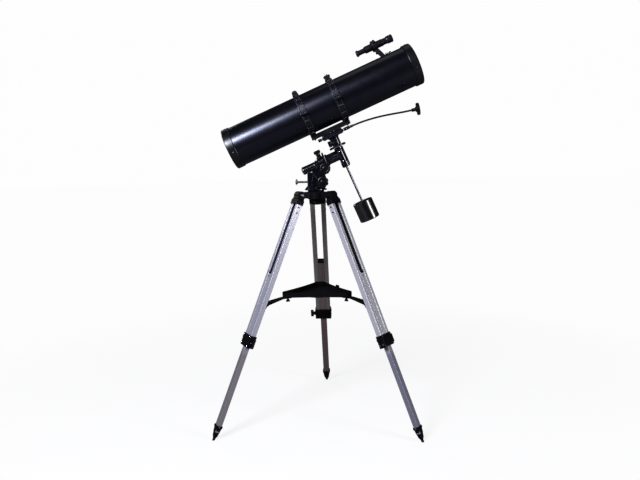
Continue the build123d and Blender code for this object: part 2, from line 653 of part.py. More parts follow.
def make_saddle_bar():
    with BuildPart() as saddle_bar:
        with BuildSketch(across(SADDLE_N)) as plan:
            with Locations(((RING_TS["rear"] + RING_TS["front"]) / 2, 0)):
                RectangleRounded(172, 30, 5)
        extrude(plan.sketch, amount=BAR_TOP_N - SADDLE_N)
    saddle_bar.part.label = "saddle_bar"
    export_step(saddle_bar.part, "parts/saddle_bar.step")


def make_counterweight():
    with BuildPart() as counterweight_bar:
        rod(across(CW_BOTTOM_N + 6), CW_BAR_R, -250 - CW_BOTTOM_N - 6)
        disc(across(CW_BOTTOM_N + 1), 9, 5)
    counterweight_bar.part.label = "counterweight_bar"
    export_step(counterweight_bar.part, "parts/counterweight_bar.step")

    with BuildPart() as counterweight:
        disc(across(CW_BOTTOM_N), CW_R, CW_TOP_N - CW_BOTTOM_N, 3.0)
        rod(across(CW_BOTTOM_N - 1), CW_BAR_R + RUN, 100, Mode.SUBTRACT)
        rod(across(CW_BOTTOM_N - 1), 11, 7 + GAP, Mode.SUBTRACT)
        rod(rearward(0, 0, CW_BOTTOM_N + 30), 4 + RUN, CW_R + 1, Mode.SUBTRACT)
    counterweight.part.label = "counterweight"
    export_step(counterweight.part, "parts/counterweight.step")

    lock_line = rearward(CW_BAR_R + 2 * GAP, 0, CW_BOTTOM_N + 30)
    with BuildPart() as counterweight_lock:
        rod(lock_line, 4, CW_R)
        scalloped(lock_line.offset(CW_R - 4), 11, 10, 6, 1.0, 3.0)
    counterweight_lock.part.label = "counterweight_lock"
    export_step(counterweight_lock.part, "parts/counterweight_lock.step")


# ---------------------------------------------------------------- tube rings
def half_ring(t, upper):
    """Half of a tube ring with its outer channel, cut clear of the hinge."""
    sign = 1 if upper else -1
    edge = RING_W / 2
    turned(along(t - edge), [(RING_IN, 0), (RING_OUT, 0), (RING_OUT, 3), (RING_OUT - 3, 4.5),
                             (RING_OUT - 3, RING_W - 4.5), (RING_OUT, RING_W - 3), (RING_OUT, RING_W),
                             (RING_IN, RING_W)])
    cut = along(t - edge - 1, -sign * (100 - GAP / 2))
    block(cut, 240, 200, RING_W + 2, Mode.SUBTRACT)
    rod(along(t - edge - 1, 0, HINGE_Y), HINGE_R + GAP, RING_W + 2, Mode.SUBTRACT)
    if upper:
        knuckles = [(-4.4, 8.8)]
    else:
        knuckles = [(-edge, edge - 4.7), (4.7, edge - 4.7)]
    for start, length in knuckles:
        rod(along(t + start, 0, HINGE_Y), HINGE_R, length)
        block(along(t + start, sign * (HINGE_R / 2 + GAP / 2), HINGE_Y + 6), 12, HINGE_R - GAP, length)
    block(along(t - 7, sign * (4.5 + GAP / 2), (RING_IN + 108) / 2 + 2), 108 - RING_IN - 4, 9, 14)


def make_ring_cradles():
    with BuildPart() as ring_cradles:
        for t in RING_TS.values():
            half_ring(t, False)
            rod(along(t - RING_W / 2, 0, HINGE_Y), HINGE_PIN_R, RING_W)
            block(along(t - RING_W / 2, BAR_TOP_N + 4), 44, 8, RING_W)
            block(along(t - RING_W / 2 - 1, BAR_TOP_N - 10), 200, 20, RING_W + 2, Mode.SUBTRACT)
            rod(along(t - RING_W / 2 - 1), RING_IN, RING_W + 2, Mode.SUBTRACT)
            block(across(-12, t, CLAMP_Y + 5), 7.4, 18, 14, Mode.SUBTRACT)
    ring_cradles.part.label = "ring_cradles"
    export_step(ring_cradles.part, "parts/ring_cradles.step")


def make_ring_strap(name, t):
    with BuildPart() as ring_strap:
        half_ring(t, True)
        rod(along(t - RING_W, 0, HINGE_Y), HINGE_PIN_R + RUN, 2 * RING_W, Mode.SUBTRACT)
        block(across(86, t), 22, 20, 12)
        rod(along(t - RING_W / 2 - 1), RING_IN, RING_W + 2, Mode.SUBTRACT)
        rod(across(-1, t, CLAMP_Y), 2.8, 12, Mode.SUBTRACT)
        rod(across(-12, t, CLAMP_Y), 2.8, 24)
        scalloped(across(9.15, t, CLAMP_Y), 8, 12, 8, 1.0, 2.0)
        if name == "front":
            scalloped(across(98, t), 14, 9, 8, 1.5, 3.5)
            rod(across(98, t), STUD_R, 16)
        else:
            block(across(98, t), 20, 18, 5)
            disc(across(103, t), 7, 3)
    ring_strap.part.label = f"ring_strap_{name}"
    export_step(ring_strap.part, f"parts/ring_strap_{name}.step")


# ---------------------------------------------------------------- optical tube
def focus_line(y):
    """The focuser's axis runs out of the tube along +Y."""
    return rearward(y, FOCUS_T)


def make_tube():
    with BuildPart() as optical_tube:
        turned(along(TUBE_T0 + 8), [(TUBE_R - TUBE_WALL, 0), (TUBE_R, 0), (TUBE_R, TUBE_T1 - TUBE_T0 - 16),
                                    (TUBE_R - TUBE_WALL, TUBE_T1 - TUBE_T0 - 16)])
        rod(focus_line(40), 22, 60, Mode.SUBTRACT)
    optical_tube.part.label = "optical_tube"
    export_step(optical_tube.part, "parts/optical_tube.step")

    with BuildPart() as front_ring:
        turned(along(TUBE_T1 - 31), [(TUBE_R, 0), (85, 0), (86, 2), (86, 28), (84, 31), (78, 31), (76.5, 29),
                                     (76.5, 23), (TUBE_R, 23)])
    front_ring.part.label = "front_ring"
    export_step(front_ring.part, "parts/front_ring.step")

    with BuildPart() as rear_cell:
        turned(along(TUBE_T0), [(0, 5), (60, 5), (62, 0), (81, 0), (85, 3), (85, 31), (84, 33), (TUBE_R, 33),
                                (TUBE_R, 8), (68, 8), (68, 14), (0, 14)])
        with Locations(along(TUBE_T0)):
            with PolarLocations(50, 3):
                Cylinder(5, 5, align=BASE)
    rear_cell.part.label = "rear_cell"
    export_step(rear_cell.part, "parts/rear_cell.step")


def make_mirrors():
    face_t = TUBE_T0 + 14 + MIRROR_T
    with BuildPart() as primary_mirror:
        disc(along(TUBE_T0 + 14), MIRROR_R, MIRROR_T)
        with Locations(along(face_t - 1.2 + MIRROR_CURVE_R)):
            Sphere(MIRROR_CURVE_R, mode=Mode.SUBTRACT)
    primary_mirror.part.label = "primary_mirror"
    export_step(primary_mirror.part, "parts/primary_mirror.step")

    vane_in, vane_out = 12.0, TUBE_R - TUBE_WALL - 0.2
    with BuildPart() as spider:
        disc(along(FOCUS_T + 34), 14, 22)
        for turn in (45, 135, 225, 315):
            block(spoke(along(FOCUS_T + 45), turn, vane_in), 20, 1.5, vane_out - vane_in)
    spider.part.label = "spider"
    export_step(spider.part, "parts/spider.step")

    slope = Plane(origin=place(FOCUS_T), x_dir=RAISED, z_dir=AXIS - WIDE)
    with BuildPart() as secondary_mirror:
        rod(along(FOCUS_T - 40), 17, 74)
        split(bisect_by=slope.offset(4), keep=Keep.TOP)
        rod(along(FOCUS_T - 40), 17.8, 80)
        split(bisect_by=slope, keep=Keep.TOP)
        rod(along(FOCUS_T + 34), 30, 60, Mode.SUBTRACT)
    secondary_mirror.part.label = "secondary_mirror"
    export_step(secondary_mirror.part, "parts/secondary_mirror.step")


def make_focuser():
    with BuildPart() as focuser_body:
        with BuildSketch(focus_line(60)) as flange:
            RectangleRounded(84, 76, 12)
        extrude(flange.sketch, amount=28)
        turned(focus_line(86), [(0, 0), (31, 0), (27, 6), (27, 40), (25, 42), (0, 42)])
        block(focus_line(90).move(Location(RAISED * -24)), 34, 20, 30)
        rod(along(0), TUBE_R, 500, Mode.SUBTRACT)
        rod(focus_line(50), DRAW_R + RUN, 120, Mode.SUBTRACT)
        rod(along(FOCUS_T - 40, -26, 107), 3 + RUN, 80, Mode.SUBTRACT)
        rod(along(FOCUS_T - 9, -26, 107), 6.5, 18, Mode.SUBTRACT)
    focuser_body.part.label = "focuser_body"
    export_step(focuser_body.part, "parts/focuser_body.step")

    with BuildPart() as focuser_drawtube:
        turned(focus_line(74), [(SOCKET_R, 0), (DRAW_R, 0), (DRAW_R, 62), (23, 64), (24, 66), (24, 82), (23, 84),
                                (SOCKET_R, 84)])
        for turn in (20, 140):
            screw = spoke(focus_line(148), turn, SOCKET_R + 4)
            rod(screw, 2, 10, Mode.SUBTRACT)
            rod(screw, 2, 10)
            disc(screw.offset(9), 5, 9)
    focuser_drawtube.part.label = "focuser_drawtube"
    export_step(focuser_drawtube.part, "parts/focuser_drawtube.step")

    with BuildPart() as focuser_pinion:
        rod(along(FOCUS_T - 34, -26, 107), 3, 68)
        disc(along(FOCUS_T - 8, -26, 107), 6, 16)
        for t in (FOCUS_T - 46, FOCUS_T + 32):
            disc(along(t, -26, 107), 17, 14, 2.0)
    focuser_pinion.part.label = "focuser_pinion"
    export_step(focuser_pinion.part, "parts/focuser_pinion.step")


def make_finder():
    radial = (RAISED * FINDER_N + WIDE * FINDER_Y).normalized()
    sideways = AXIS.cross(radial)

    def outward(t, radius):
        return Plane(origin=CENTRE + AXIS * t + radial * radius, x_dir=AXIS, z_dir=radial)

    with BuildPart() as finder_bracket:
        block(outward(338, 76), 46, 20, 11)
        with BuildSketch(Plane(origin=CENTRE + sideways * -5, x_dir=AXIS, z_dir=sideways)) as strut:
            with BuildLine():
                Polyline((318, 84), (334, 84), (318, 134), (300, 134), close=True)
            make_face()
        extrude(strut.sketch, amount=10)
        disc(along(298, FINDER_N, FINDER_Y), 23, 20, 1.5)
        rod(along(296, FINDER_N, FINDER_Y), 19, 24, Mode.SUBTRACT)
        rod(along(200), TUBE_R, 240, Mode.SUBTRACT)
        for t in (340, 354):
            disc(outward(t, 87), 5.5, 10)
        for turn in (30, 150, 270):
            screw = spoke(along(308, FINDER_N, FINDER_Y), turn, 14.6)
            rod(screw, 2, 16)
            disc(screw.offset(13), 4.5, 8)
    finder_bracket.part.label = "finder_bracket"
    export_step(finder_bracket.part, "parts/finder_bracket.step")

    with BuildPart() as finder_scope:
        turned(along(228, FINDER_N, FINDER_Y), [(0, 1.5), (9, 1.5), (10, 0), (12.5, 1), (12.5, 9), (10, 12),
                                                (10, 34), (14.5, 40), (14.5, 112), (13, 120), (13, 134),
                                                (15.5, 140), (15.5, 161), (14, 162), (13, 156), (0, 156)])
    finder_scope.part.label = "finder_scope"
    export_step(finder_scope.part, "parts/finder_scope.step")


make_hub()
make_pivot_bolts()
for each_leg in LEGS:
    make_leg_head(each_leg)
    make_leg_rails(each_leg)
    make_leg_clamp(each_leg)
    make_clamp_knob(each_leg)
    make_inner_leg(each_leg)
    make_foot(each_leg)
    make_tray_arm(each_leg)
make_tray()
make_azimuth_fork()
make_latitude_bolt()
make_latitude_lock()
make_ra_housing()
make_ra_drive()
make_polar_shaft()
make_ra_lock()
make_setting_circles()
make_dec_housing()
make_dec_head()
make_dec_drive()
make_dec_cable()
make_saddle_bar()
make_counterweight()
make_ring_cradles()
for ring_name, ring_t in RING_TS.items():
    make_ring_strap(ring_name, ring_t)
make_tube()
make_mirrors()
make_focuser()
make_finder()
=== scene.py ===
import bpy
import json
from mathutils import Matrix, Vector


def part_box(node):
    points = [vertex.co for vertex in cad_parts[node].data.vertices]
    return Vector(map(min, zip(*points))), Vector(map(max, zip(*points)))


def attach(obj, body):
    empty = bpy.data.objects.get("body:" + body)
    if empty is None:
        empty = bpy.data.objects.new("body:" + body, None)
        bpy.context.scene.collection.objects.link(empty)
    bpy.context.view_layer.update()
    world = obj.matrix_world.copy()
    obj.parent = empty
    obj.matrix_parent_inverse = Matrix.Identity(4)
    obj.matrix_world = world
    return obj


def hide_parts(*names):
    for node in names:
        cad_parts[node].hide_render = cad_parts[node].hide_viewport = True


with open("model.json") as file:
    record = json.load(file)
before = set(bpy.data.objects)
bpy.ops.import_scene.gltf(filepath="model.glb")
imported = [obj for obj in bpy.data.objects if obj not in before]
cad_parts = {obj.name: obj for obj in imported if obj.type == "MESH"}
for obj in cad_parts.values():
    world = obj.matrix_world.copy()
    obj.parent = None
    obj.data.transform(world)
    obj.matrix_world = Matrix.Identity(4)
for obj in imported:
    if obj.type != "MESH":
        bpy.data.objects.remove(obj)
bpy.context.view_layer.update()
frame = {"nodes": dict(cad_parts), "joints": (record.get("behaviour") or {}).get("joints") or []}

import json
from math import cos, pi, radians, sin

import bmesh
import bpy
from mathutils import Matrix, Vector

# A black Newtonian telescope on an equatorial mount. Lengths are millimetres until a piece is made.
MM = 0.001
LEGS = ("left", "right", "rear")
joints = {joint["name"]: joint for joint in frame["joints"]}
nodes = frame["nodes"]

UPWARD = Vector((0, 0, 1))
WIDE = Vector((0, 1, 0))
AXIS = Vector(joints["tube_roll"]["axis"])
RAISED = Vector(joints["declination"]["axis"])
CENTRE = Vector(joints["tube_roll"]["pos_m"]) / MM
HUB = Vector(joints["azimuth"]["pos_m"]) / MM
HUB.z = 0


def place(t, n=0.0, y=0.0):
    """A point t along the tube, n above its axis and y across it."""
    return CENTRE + AXIS * t + RAISED * n + WIDE * y


def spoke(degrees):
    """A direction square to the tube, at an angle from its far side towards its top."""
    return WIDE * cos(radians(degrees)) + RAISED * sin(radians(degrees))


# Places and radii, the same as the CAD model's; T is along the tube, N above its axis
TUBE_R, TUBE_T0 = 82.0, -412.0
FRONT_RING_T, REAR_CELL_T = 395.6, -380.4
RA_N, RA_WORM_T, WORM_OFFSET = -206.0, -88.0, 24.6
RA_CIRCLE_T, RA_CIRCLE_R = -75.7, 38.0
RA_KNOB_Y = -139.0
DEC_CIRCLE_N, DEC_CIRCLE_R = -176.0, 35.0
DEC_WORM_N, DEC_WORM_Y = -121.0, -24.6
SADDLE_N = -108.0
RING_TS = {"rear": -72.0, "front": 75.0}
FOCUS_T = 300.0
FINDER_N, FINDER_Y = 140.0, 55.0
CW_R, CW_TOP_N, CW_BOTTOM_N = 42.0, -420.0, -503.0
LAT = Vector(joints["altitude"]["pos_m"]) / MM
LAT_LUG_R, FORK_CHEEK, FORK_FOOT_Z = 17.4, 24.0, 988.3


# ---------------------------------------------------------------- camera
def make_camera():
    data = bpy.data.cameras.new("camera")
    data.sensor_width, data.lens = 36.0, 35.47      # millimetres, for a view about 54 degrees wide
    camera = bpy.data.objects.new("camera", data)
    bpy.context.scene.collection.objects.link(camera)
    from_hub, downward = Vector((12.5, -2632.3, 1092.9)), 6.89
    eye = (HUB + from_hub) * MM
    pitch, roll = radians(90 - downward), radians(-1.22)
    turned = Matrix.Rotation(pitch, 4, "X") @ Matrix.Rotation(roll, 4, "Z")
    camera.matrix_world = Matrix.Translation(eye) @ turned
    bpy.context.scene.camera = camera


make_camera()


# ---------------------------------------------------------------- materials
class Nodes:
    """Short calls for building one material's node tree."""

    def __init__(self, name):
        self.material = bpy.data.materials.new(name)
        self.material.use_nodes = True
        self.tree = self.material.node_tree
        self.shader = self.tree.nodes["Principled BSDF"]
        self.place = self.add("ShaderNodeTexCoord").outputs["Object"]

    def add(self, kind, **values):
        node = self.tree.nodes.new(kind)
        for key, value in values.items():
            setattr(node, key, value)
        return node

    def join(self, source, target):
        self.tree.links.new(source, target)

    def noise(self, scale, detail=3.0, where=None):
        node = self.add("ShaderNodeTexNoise")
        node.inputs["Scale"].default_value = scale
        node.inputs["Detail"].default_value = detail
        self.join(where or self.place, node.inputs["Vector"])
        return node.outputs["Fac"]

    def spread(self, source, low, high, start=0.3, end=0.7):
        """The source between start and end, mapped to low and high."""
        node = self.add("ShaderNodeMapRange")
        for key, value in (("From Min", start), ("From Max", end), ("To Min", low), ("To Max", high)):
            node.inputs[key].default_value = value
        self.join(source, node.inputs["Value"])
        return node.outputs["Result"]

    def mix(self, factor, first, second):
        node = self.add("ShaderNodeMix", data_type="RGBA")
        self.join(factor, node.inputs["Factor"])
        for value, socket in ((first, node.inputs[6]), (second, node.inputs[7])):
            if isinstance(value, bpy.types.NodeSocket):
                self.join(value, socket)
            else:
                socket.default_value = value
        return node.outputs[2]

    def edges(self, radius_mm, strength):
        """A mask that is brightest on sharp convex and concave edges, broken up by noise."""
        rounded = self.add("ShaderNodeBevel", samples=6)
        rounded.inputs["Radius"].default_value = radius_mm * MM
        flat = self.add("ShaderNodeNewGeometry")
        dot = self.add("ShaderNodeVectorMath", operation="DOT_PRODUCT")
        self.join(rounded.outputs["Normal"], dot.inputs[0])
        self.join(flat.outputs["Normal"], dot.inputs[1])
        bent = self.spread(dot.outputs["Value"], low=strength, high=0.0, start=0.7, end=0.95)
        broken = self.spread(self.noise(90.0), low=0.45, high=1.0, start=0.35, end=0.62)
        both = self.add("ShaderNodeMath", operation="MULTIPLY")
        self.join(bent, both.inputs[0])
        self.join(broken, both.inputs[1])
        return both.outputs["Value"]

    def bump(self, height, strength, distance_mm):
        node = self.add("ShaderNodeBump")
        node.inputs["Strength"].default_value = strength
        node.inputs["Distance"].default_value = distance_mm * MM
        self.join(height, node.inputs["Height"])
        self.join(node.outputs["Normal"], self.shader.inputs["Normal"])

    def drawn_out(self, direction, across, along):
        """Coordinates for a grain that runs in one direction: cycles per metre across it and along it."""
        side = direction.orthogonal().normalized()
        other = direction.cross(side)
        combined = self.add("ShaderNodeCombineXYZ")
        for vector, scale, axis in ((side, across, "X"), (other, across, "Y"), (direction, along, "Z")):
            dot = self.add("ShaderNodeVectorMath", operation="DOT_PRODUCT")
            dot.inputs[1].default_value = vector * scale
            self.join(self.place, dot.inputs[0])
            self.join(dot.outputs["Value"], combined.inputs[axis])
        return combined.outputs["Vector"]

    def base(self, metallic=0.0, specular=0.5, coat=0.0, coat_roughness=0.05):
        self.shader.inputs["Metallic"].default_value = metallic
        self.shader.inputs["Specular IOR Level"].default_value = specular
        self.shader.inputs["Coat Weight"].default_value = coat
        self.shader.inputs["Coat Roughness"].default_value = coat_roughness
        return self

    def colour(self, first, second, factor):
        self.join(self.mix(factor, first, second), self.shader.inputs["Base Color"])

    def rough(self, low, high, scale=40.0):
        self.join(self.spread(self.noise(scale, 4.0), low, high), self.shader.inputs["Roughness"])


def rgb(red, green, blue):
    return (red, green, blue, 1.0)


def painted(name, colour, edge_wear_and_highlight, rough, grain, bump_mm, edge=0.7, specular=0.5, coat=0.0):
    """Paint or moulded plastic: clouded colour, paler edges, uneven gloss and a fine surface grain. The edge colour
    is worn edges on most paints and plastics, and a painted highlight on the rings', mount's and declination head's
    paints.
    """
    paint = Nodes(name).base(0.0, specular, coat)
    lifted = tuple(min(1.0, c * 1.6 + 0.0008) for c in colour[:3]) + (1.0,)
    cloud = paint.mix(paint.spread(paint.noise(18.0, 5.0), 0.0, 1.0), colour, lifted)
    paint.colour(cloud, edge_wear_and_highlight, paint.edges(0.7, edge))
    paint.rough(*rough)
    paint.bump(paint.noise(grain, 2.0), 0.35, bump_mm)
    return paint.material


def metal(name, colour, stained, rough, direction=None, across=1400.0, along=9.0, bump_mm=0.02):
    """Bare metal: a drawn or turned grain, slight stains and brighter edges."""
    steel = Nodes(name).base(1.0)
    where = steel.drawn_out(direction, across, along) if direction else None
    grain = steel.noise(1.0 if direction else 900.0, 3.0, where)
    stain = steel.mix(steel.spread(steel.noise(14.0, 5.0), 0.0, 1.0), colour, stained)
    bright = tuple(min(1.0, c * 1.2) for c in colour[:3]) + (1.0,)
    steel.colour(stain, bright, steel.edges(0.5, 0.6))
    steel.join(steel.spread(grain, *rough), steel.shader.inputs["Roughness"])
    steel.bump(grain, 0.25, bump_mm)
    return steel.material


def leg_metal(name, direction, colour, streak, rough, lower_tone=None):
    """Satin anodised extrusion with die lines down its length. The last argument is a start and end down it, and a
    darker tone the leg takes below them, set per leg with painted light and shade.
    """
    alloy = Nodes(name).base(0.4, 0.5)
    die_lines = alloy.noise(1.0, 2.0, alloy.drawn_out(direction, 700.0, 1.5))
    fine = alloy.noise(1.0, 3.0, alloy.drawn_out(direction, 3000.0, 30.0))
    tone = alloy.mix(alloy.spread(die_lines, 0.0, 1.0), colour, streak)
    if lower_tone:
        start, end, shade = lower_tone
        reach = alloy.add("ShaderNodeVectorMath", operation="DOT_PRODUCT")
        reach.inputs[1].default_value = direction
        alloy.join(alloy.place, reach.inputs[0])
        # Below the clamp the colour turns to the leg's darker tone, a lit and shaded copy for each leg.
        tone = alloy.mix(alloy.spread(reach.outputs["Value"], 0.0, 1.0, start, end), tone, shade)
    alloy.colour(tone, rgb(0.8, 0.8, 0.83), alloy.edges(0.6, 0.3))
    alloy.join(alloy.spread(fine, *rough), alloy.shader.inputs["Roughness"])
    alloy.bump(die_lines, 0.3, 0.03)
    return alloy.material


def down(leg):
    return Vector(joints[f"leg_{leg}_extend"]["axis"])


def clear_glass(name, tint):
    glass = Nodes(name).base(0.0, 0.6, 1.0, 0.02)
    glass.colour(tint, rgb(0.02, 0.01, 0.05), glass.spread(glass.noise(30.0), 0.0, 1.0))
    glass.rough(0.03, 0.06)
    glass.bump(glass.noise(20.0), 0.05, 0.01)
    return glass.material


def mirror_coating(name):
    silvered = Nodes(name).base(1.0)
    silvered.colour(rgb(0.88, 0.9, 0.92), rgb(0.8, 0.83, 0.87), silvered.spread(silvered.noise(25.0), 0.0, 1.0))
    silvered.rough(0.015, 0.04)
    silvered.bump(silvered.noise(15.0), 0.02, 0.005)
    return silvered.material


tube_paint = painted("tube_paint", rgb(0.001, 0.001, 0.003), rgb(0.004, 0.004, 0.006), (0.28, 0.31),
                     grain=2400.0, bump_mm=0.002, edge=0.2, specular=0.62)
tube_paint.node_tree.nodes["Principled BSDF"].inputs["Specular Tint"].default_value = rgb(0.82, 0.86, 1.0)
flock = painted("tube_inside", rgb(0.003, 0.003, 0.003), rgb(0.006, 0.006, 0.006), (0.85, 0.95),
                grain=1800.0, bump_mm=0.15, edge=0.2, specular=0.1)
trim_paint = painted("trim_paint", rgb(0.003, 0.003, 0.005), rgb(0.05, 0.05, 0.06), (0.28, 0.4),
                     grain=900.0, bump_mm=0.02, edge=0.5, specular=0.5)
# The rings' pale lavender edge colour is a painted highlight along their edges.
ring_paint = painted("ring_paint", rgb(0.003, 0.003, 0.006), rgb(0.6, 0.6, 0.7), (0.26, 0.36),
                     grain=700.0, bump_mm=0.03, edge=0.85, specular=0.5)
# The mount's pale lavender edge colour is a painted highlight, sheen along the castings' edges.
mount_paint = painted("mount_paint", rgb(0.002, 0.002, 0.005), rgb(0.42, 0.42, 0.52), (0.12, 0.22),
                      grain=260.0, bump_mm=0.06, edge=0.65, specular=0.9, coat=0.6)
# The declination head's lavender-grey edge colour is a painted highlight along its edges.
head_paint = painted("head_paint", rgb(0.003, 0.003, 0.008), rgb(0.18, 0.18, 0.24), (0.12, 0.2),
                     grain=240.0, bump_mm=0.08, edge=0.7, specular=0.9, coat=0.6)
plastic = painted("moulded_plastic", rgb(0.003, 0.003, 0.004), rgb(0.009, 0.009, 0.01), (0.46, 0.58),
                  grain=1300.0, bump_mm=0.03, edge=0.5, specular=0.1)
knob_plastic = painted("knob_plastic", rgb(0.002, 0.002, 0.003), rgb(0.012, 0.012, 0.014), (0.24, 0.34),
                       grain=1500.0, bump_mm=0.02, edge=0.5)
rubber = painted("cable_rubber", rgb(0.003, 0.003, 0.004), rgb(0.01, 0.01, 0.011), (0.38, 0.5),
                 grain=1500.0, bump_mm=0.01, edge=0.3, specular=0.35)
weight_paint = painted("weight_paint", rgb(0.003, 0.003, 0.003), rgb(0.06, 0.06, 0.06), (0.2, 0.26),
                       grain=500.0, bump_mm=0.01, edge=0.5, specular=1.0, coat=0.3)
scale_paint = painted("scale_paint", rgb(0.5, 0.5, 0.5), rgb(0.62, 0.62, 0.6), (0.4, 0.5),
                      grain=900.0, bump_mm=0.01, edge=0.2)
# The rails' inner channel faces: a darker grey than the alloy, painted shade inside the channel; the real faces are
# the same aluminium.
channel = painted("rail_channel_painted_shade", rgb(0.2, 0.2, 0.22), rgb(0.3, 0.3, 0.32), (0.5, 0.6),
                  grain=1100.0, bump_mm=0.06, edge=0.3, specular=0.3)
chrome = metal("chrome", rgb(0.72, 0.72, 0.75), rgb(0.6, 0.6, 0.64), (0.08, 0.18))
dark_steel = metal("dark_steel", rgb(0.09, 0.09, 0.1), rgb(0.05, 0.05, 0.06), (0.22, 0.36))
turned_steel = metal("turned_steel", rgb(0.5, 0.5, 0.52), rgb(0.38, 0.38, 0.4), (0.2, 0.36))
bar_steel = metal("bar_steel", rgb(0.2, 0.2, 0.23), rgb(0.14, 0.14, 0.16), (0.24, 0.3),
                  RAISED, across=1600.0, along=20.0, bump_mm=0.004)
bronze = metal("bronze", rgb(0.6, 0.42, 0.2), rgb(0.42, 0.28, 0.13), (0.22, 0.38))
mirror = mirror_coating("mirror_coating")
lens_glass = clear_glass("lens_glass", rgb(0.015, 0.02, 0.035))
# Each leg has its own copy of the alloy's colours, set by how light falls on it: painted light and shade. The right
# leg's are lightest, and the rear leg's, on the shaded side, are darkest and browner. The lower tones are the darker
# colour each inner leg takes below its clamp, also set per leg.
RAIL_LIT_AND_SHADED_TONES = {"left": rgb(0.46, 0.455, 0.5), "right": rgb(0.56, 0.555, 0.58), "rear": rgb(0.27, 0.24, 0.225)}
INNER_LIT_AND_SHADED_TONES = {"left": rgb(0.5, 0.495, 0.54), "right": rgb(0.6, 0.595, 0.63), "rear": rgb(0.24, 0.2, 0.19)}
LOWER_LIT_AND_SHADED_TONES = {"left": rgb(0.27, 0.25, 0.26), "right": rgb(0.25, 0.25, 0.3), "rear": rgb(0.2, 0.155, 0.14)}
CLAMP_DISTANCE, TONE_CHANGE = 0.63, 0.06         # metres down the leg


def streaks_of(tone):
    """The die lines' colour on a leg of this tone."""
    return rgb(*(c * 0.8 for c in tone[:3]))


rails = {}
inner_metal = {}
for leg in LEGS:
    rails[leg] = leg_metal(f"rail_metal_{leg}", down(leg), RAIL_LIT_AND_SHADED_TONES[leg], streaks_of(RAIL_LIT_AND_SHADED_TONES[leg]), (0.3, 0.42))
    clamp_at = Vector(joints[f"leg_{leg}_fold"]["pos_m"]).dot(down(leg)) + CLAMP_DISTANCE
    inner_metal[leg] = leg_metal(f"inner_leg_metal_{leg}", down(leg), INNER_LIT_AND_SHADED_TONES[leg], streaks_of(INNER_LIT_AND_SHADED_TONES[leg]),
                                 (0.32, 0.46), (clamp_at, clamp_at + TONE_CHANGE, LOWER_LIT_AND_SHADED_TONES[leg]))


# ---------------------------------------------------------------- CAD nodes' finishes
def finish(material, *names):
    """One material all over each named CAD node."""
    for name in names:
        mesh = nodes[name].data
        mesh.materials.clear()
        mesh.materials.append(material)
        for face in mesh.polygons:
            face.material_index = 0


def part_finish(name, material, inside):
    """Another material on the faces of a CAD node whose middle passes the test; the test gets millimetres."""
    mesh = nodes[name].data
    mesh.materials.append(material)
    index = len(mesh.materials) - 1
    for face in mesh.polygons:
        if inside(face.center / MM):
            face.material_index = index


finish(mount_paint, "azimuth_fork", "ra_housing", "dec_housing")
finish(plastic, "tripod_hub", "tray")
finish(chrome, "focuser_drawtube")
finish(dark_steel, "pivot_bolts")
finish(turned_steel, "latitude_bolt")
finish(bar_steel, "counterweight_bar")
finish(head_paint, "dec_head")
finish(turned_steel, "polar_shaft", "dec_shaft", "ra_worm", "dec_worm")
finish(bronze, "dec_wheel")
finish(knob_plastic, "latitude_lock", "ra_lock", "dec_lock", "dec_knob", "ra_control", "counterweight_lock",
       "focuser_pinion")
finish(trim_paint, "ra_circle", "dec_circle", "saddle_bar", "front_ring", "rear_cell", "focuser_body",
       "finder_bracket", "finder_scope")
finish(flock, "spider")
finish(ring_paint, "ring_cradles", "ring_strap_front", "ring_strap_rear")
finish(weight_paint, "counterweight")
finish(tube_paint, "optical_tube")
finish(mirror, "primary_mirror", "secondary_mirror")
finish(rubber, "dec_cable")
for leg in LEGS:
    finish(plastic, f"leg_head_{leg}", f"leg_clamp_{leg}", f"foot_{leg}", f"tray_arm_{leg}")
    finish(knob_plastic, f"clamp_knob_{leg}")
    finish(rails[leg], f"leg_rails_{leg}")
    finish(inner_metal[leg], f"inner_leg_{leg}")


def from_tube_axis(point):
    offset = point - CENTRE
    return (offset - AXIS * offset.dot(AXIS)).length


WORM_SLEEVE_R, AZIMUTH_KNOB_Z, FRONT_RING_BORE = 5.0, 946.0, 77.5
worm_centre = place(0, DEC_WORM_N, DEC_WORM_Y)
part_finish("optical_tube", flock, lambda point: from_tube_axis(point) < TUBE_R - 0.8)
part_finish("front_ring", flock, lambda point: from_tube_axis(point) < FRONT_RING_BORE)
part_finish("azimuth_fork", knob_plastic, lambda point: point.z < AZIMUTH_KNOB_Z)
part_finish("dec_worm", knob_plastic, lambda point: (point - worm_centre).cross(AXIS).length > WORM_SLEEVE_R)


class Leg:
    """One leg's directions from its joints: down its length, out of its upper face and along its pivot (round)."""

    def __init__(self, name):
        self.name = name
        self.pivot = Vector(joints[f"leg_{name}_fold"]["pos_m"]) / MM
        self.round = Vector(joints[f"leg_{name}_fold"]["axis"])
        self.down = Vector(joints[f"leg_{name}_extend"]["axis"])
        self.face = self.down.cross(self.round)
        if self.face.z < 0:
            self.face.negate()

    def place(self, d, n=0.0, w=0.0):
        return self.pivot + self.down * d + self.face * n + self.round * w

    def local(self, point):
        offset = point - self.pivot
        return offset.dot(self.down), offset.dot(self.face), offset.dot(self.round)


legs = [Leg(name) for name in LEGS]
INNER_START = 331.0
CHANNEL_W, CHANNEL_N, BRACKET_N = 31.2, 9.2, -11.5


def in_channel(leg, point):
    across, face = leg.local(point)[2], leg.local(point)[1]
    return abs(across) < CHANNEL_W and abs(face) < CHANNEL_N


for leg in legs:
    # Painted shade: the faces inside each rail's channel take the darker grey.
    part_finish(f"leg_rails_{leg.name}", channel, lambda point, leg=leg: in_channel(leg, point))
    part_finish(f"leg_rails_{leg.name}", plastic, lambda point, leg=leg: leg.local(point)[1] < BRACKET_N)
    part_finish(f"inner_leg_{leg.name}", plastic, lambda point, leg=leg: leg.local(point)[0] < INNER_START + 0.5)


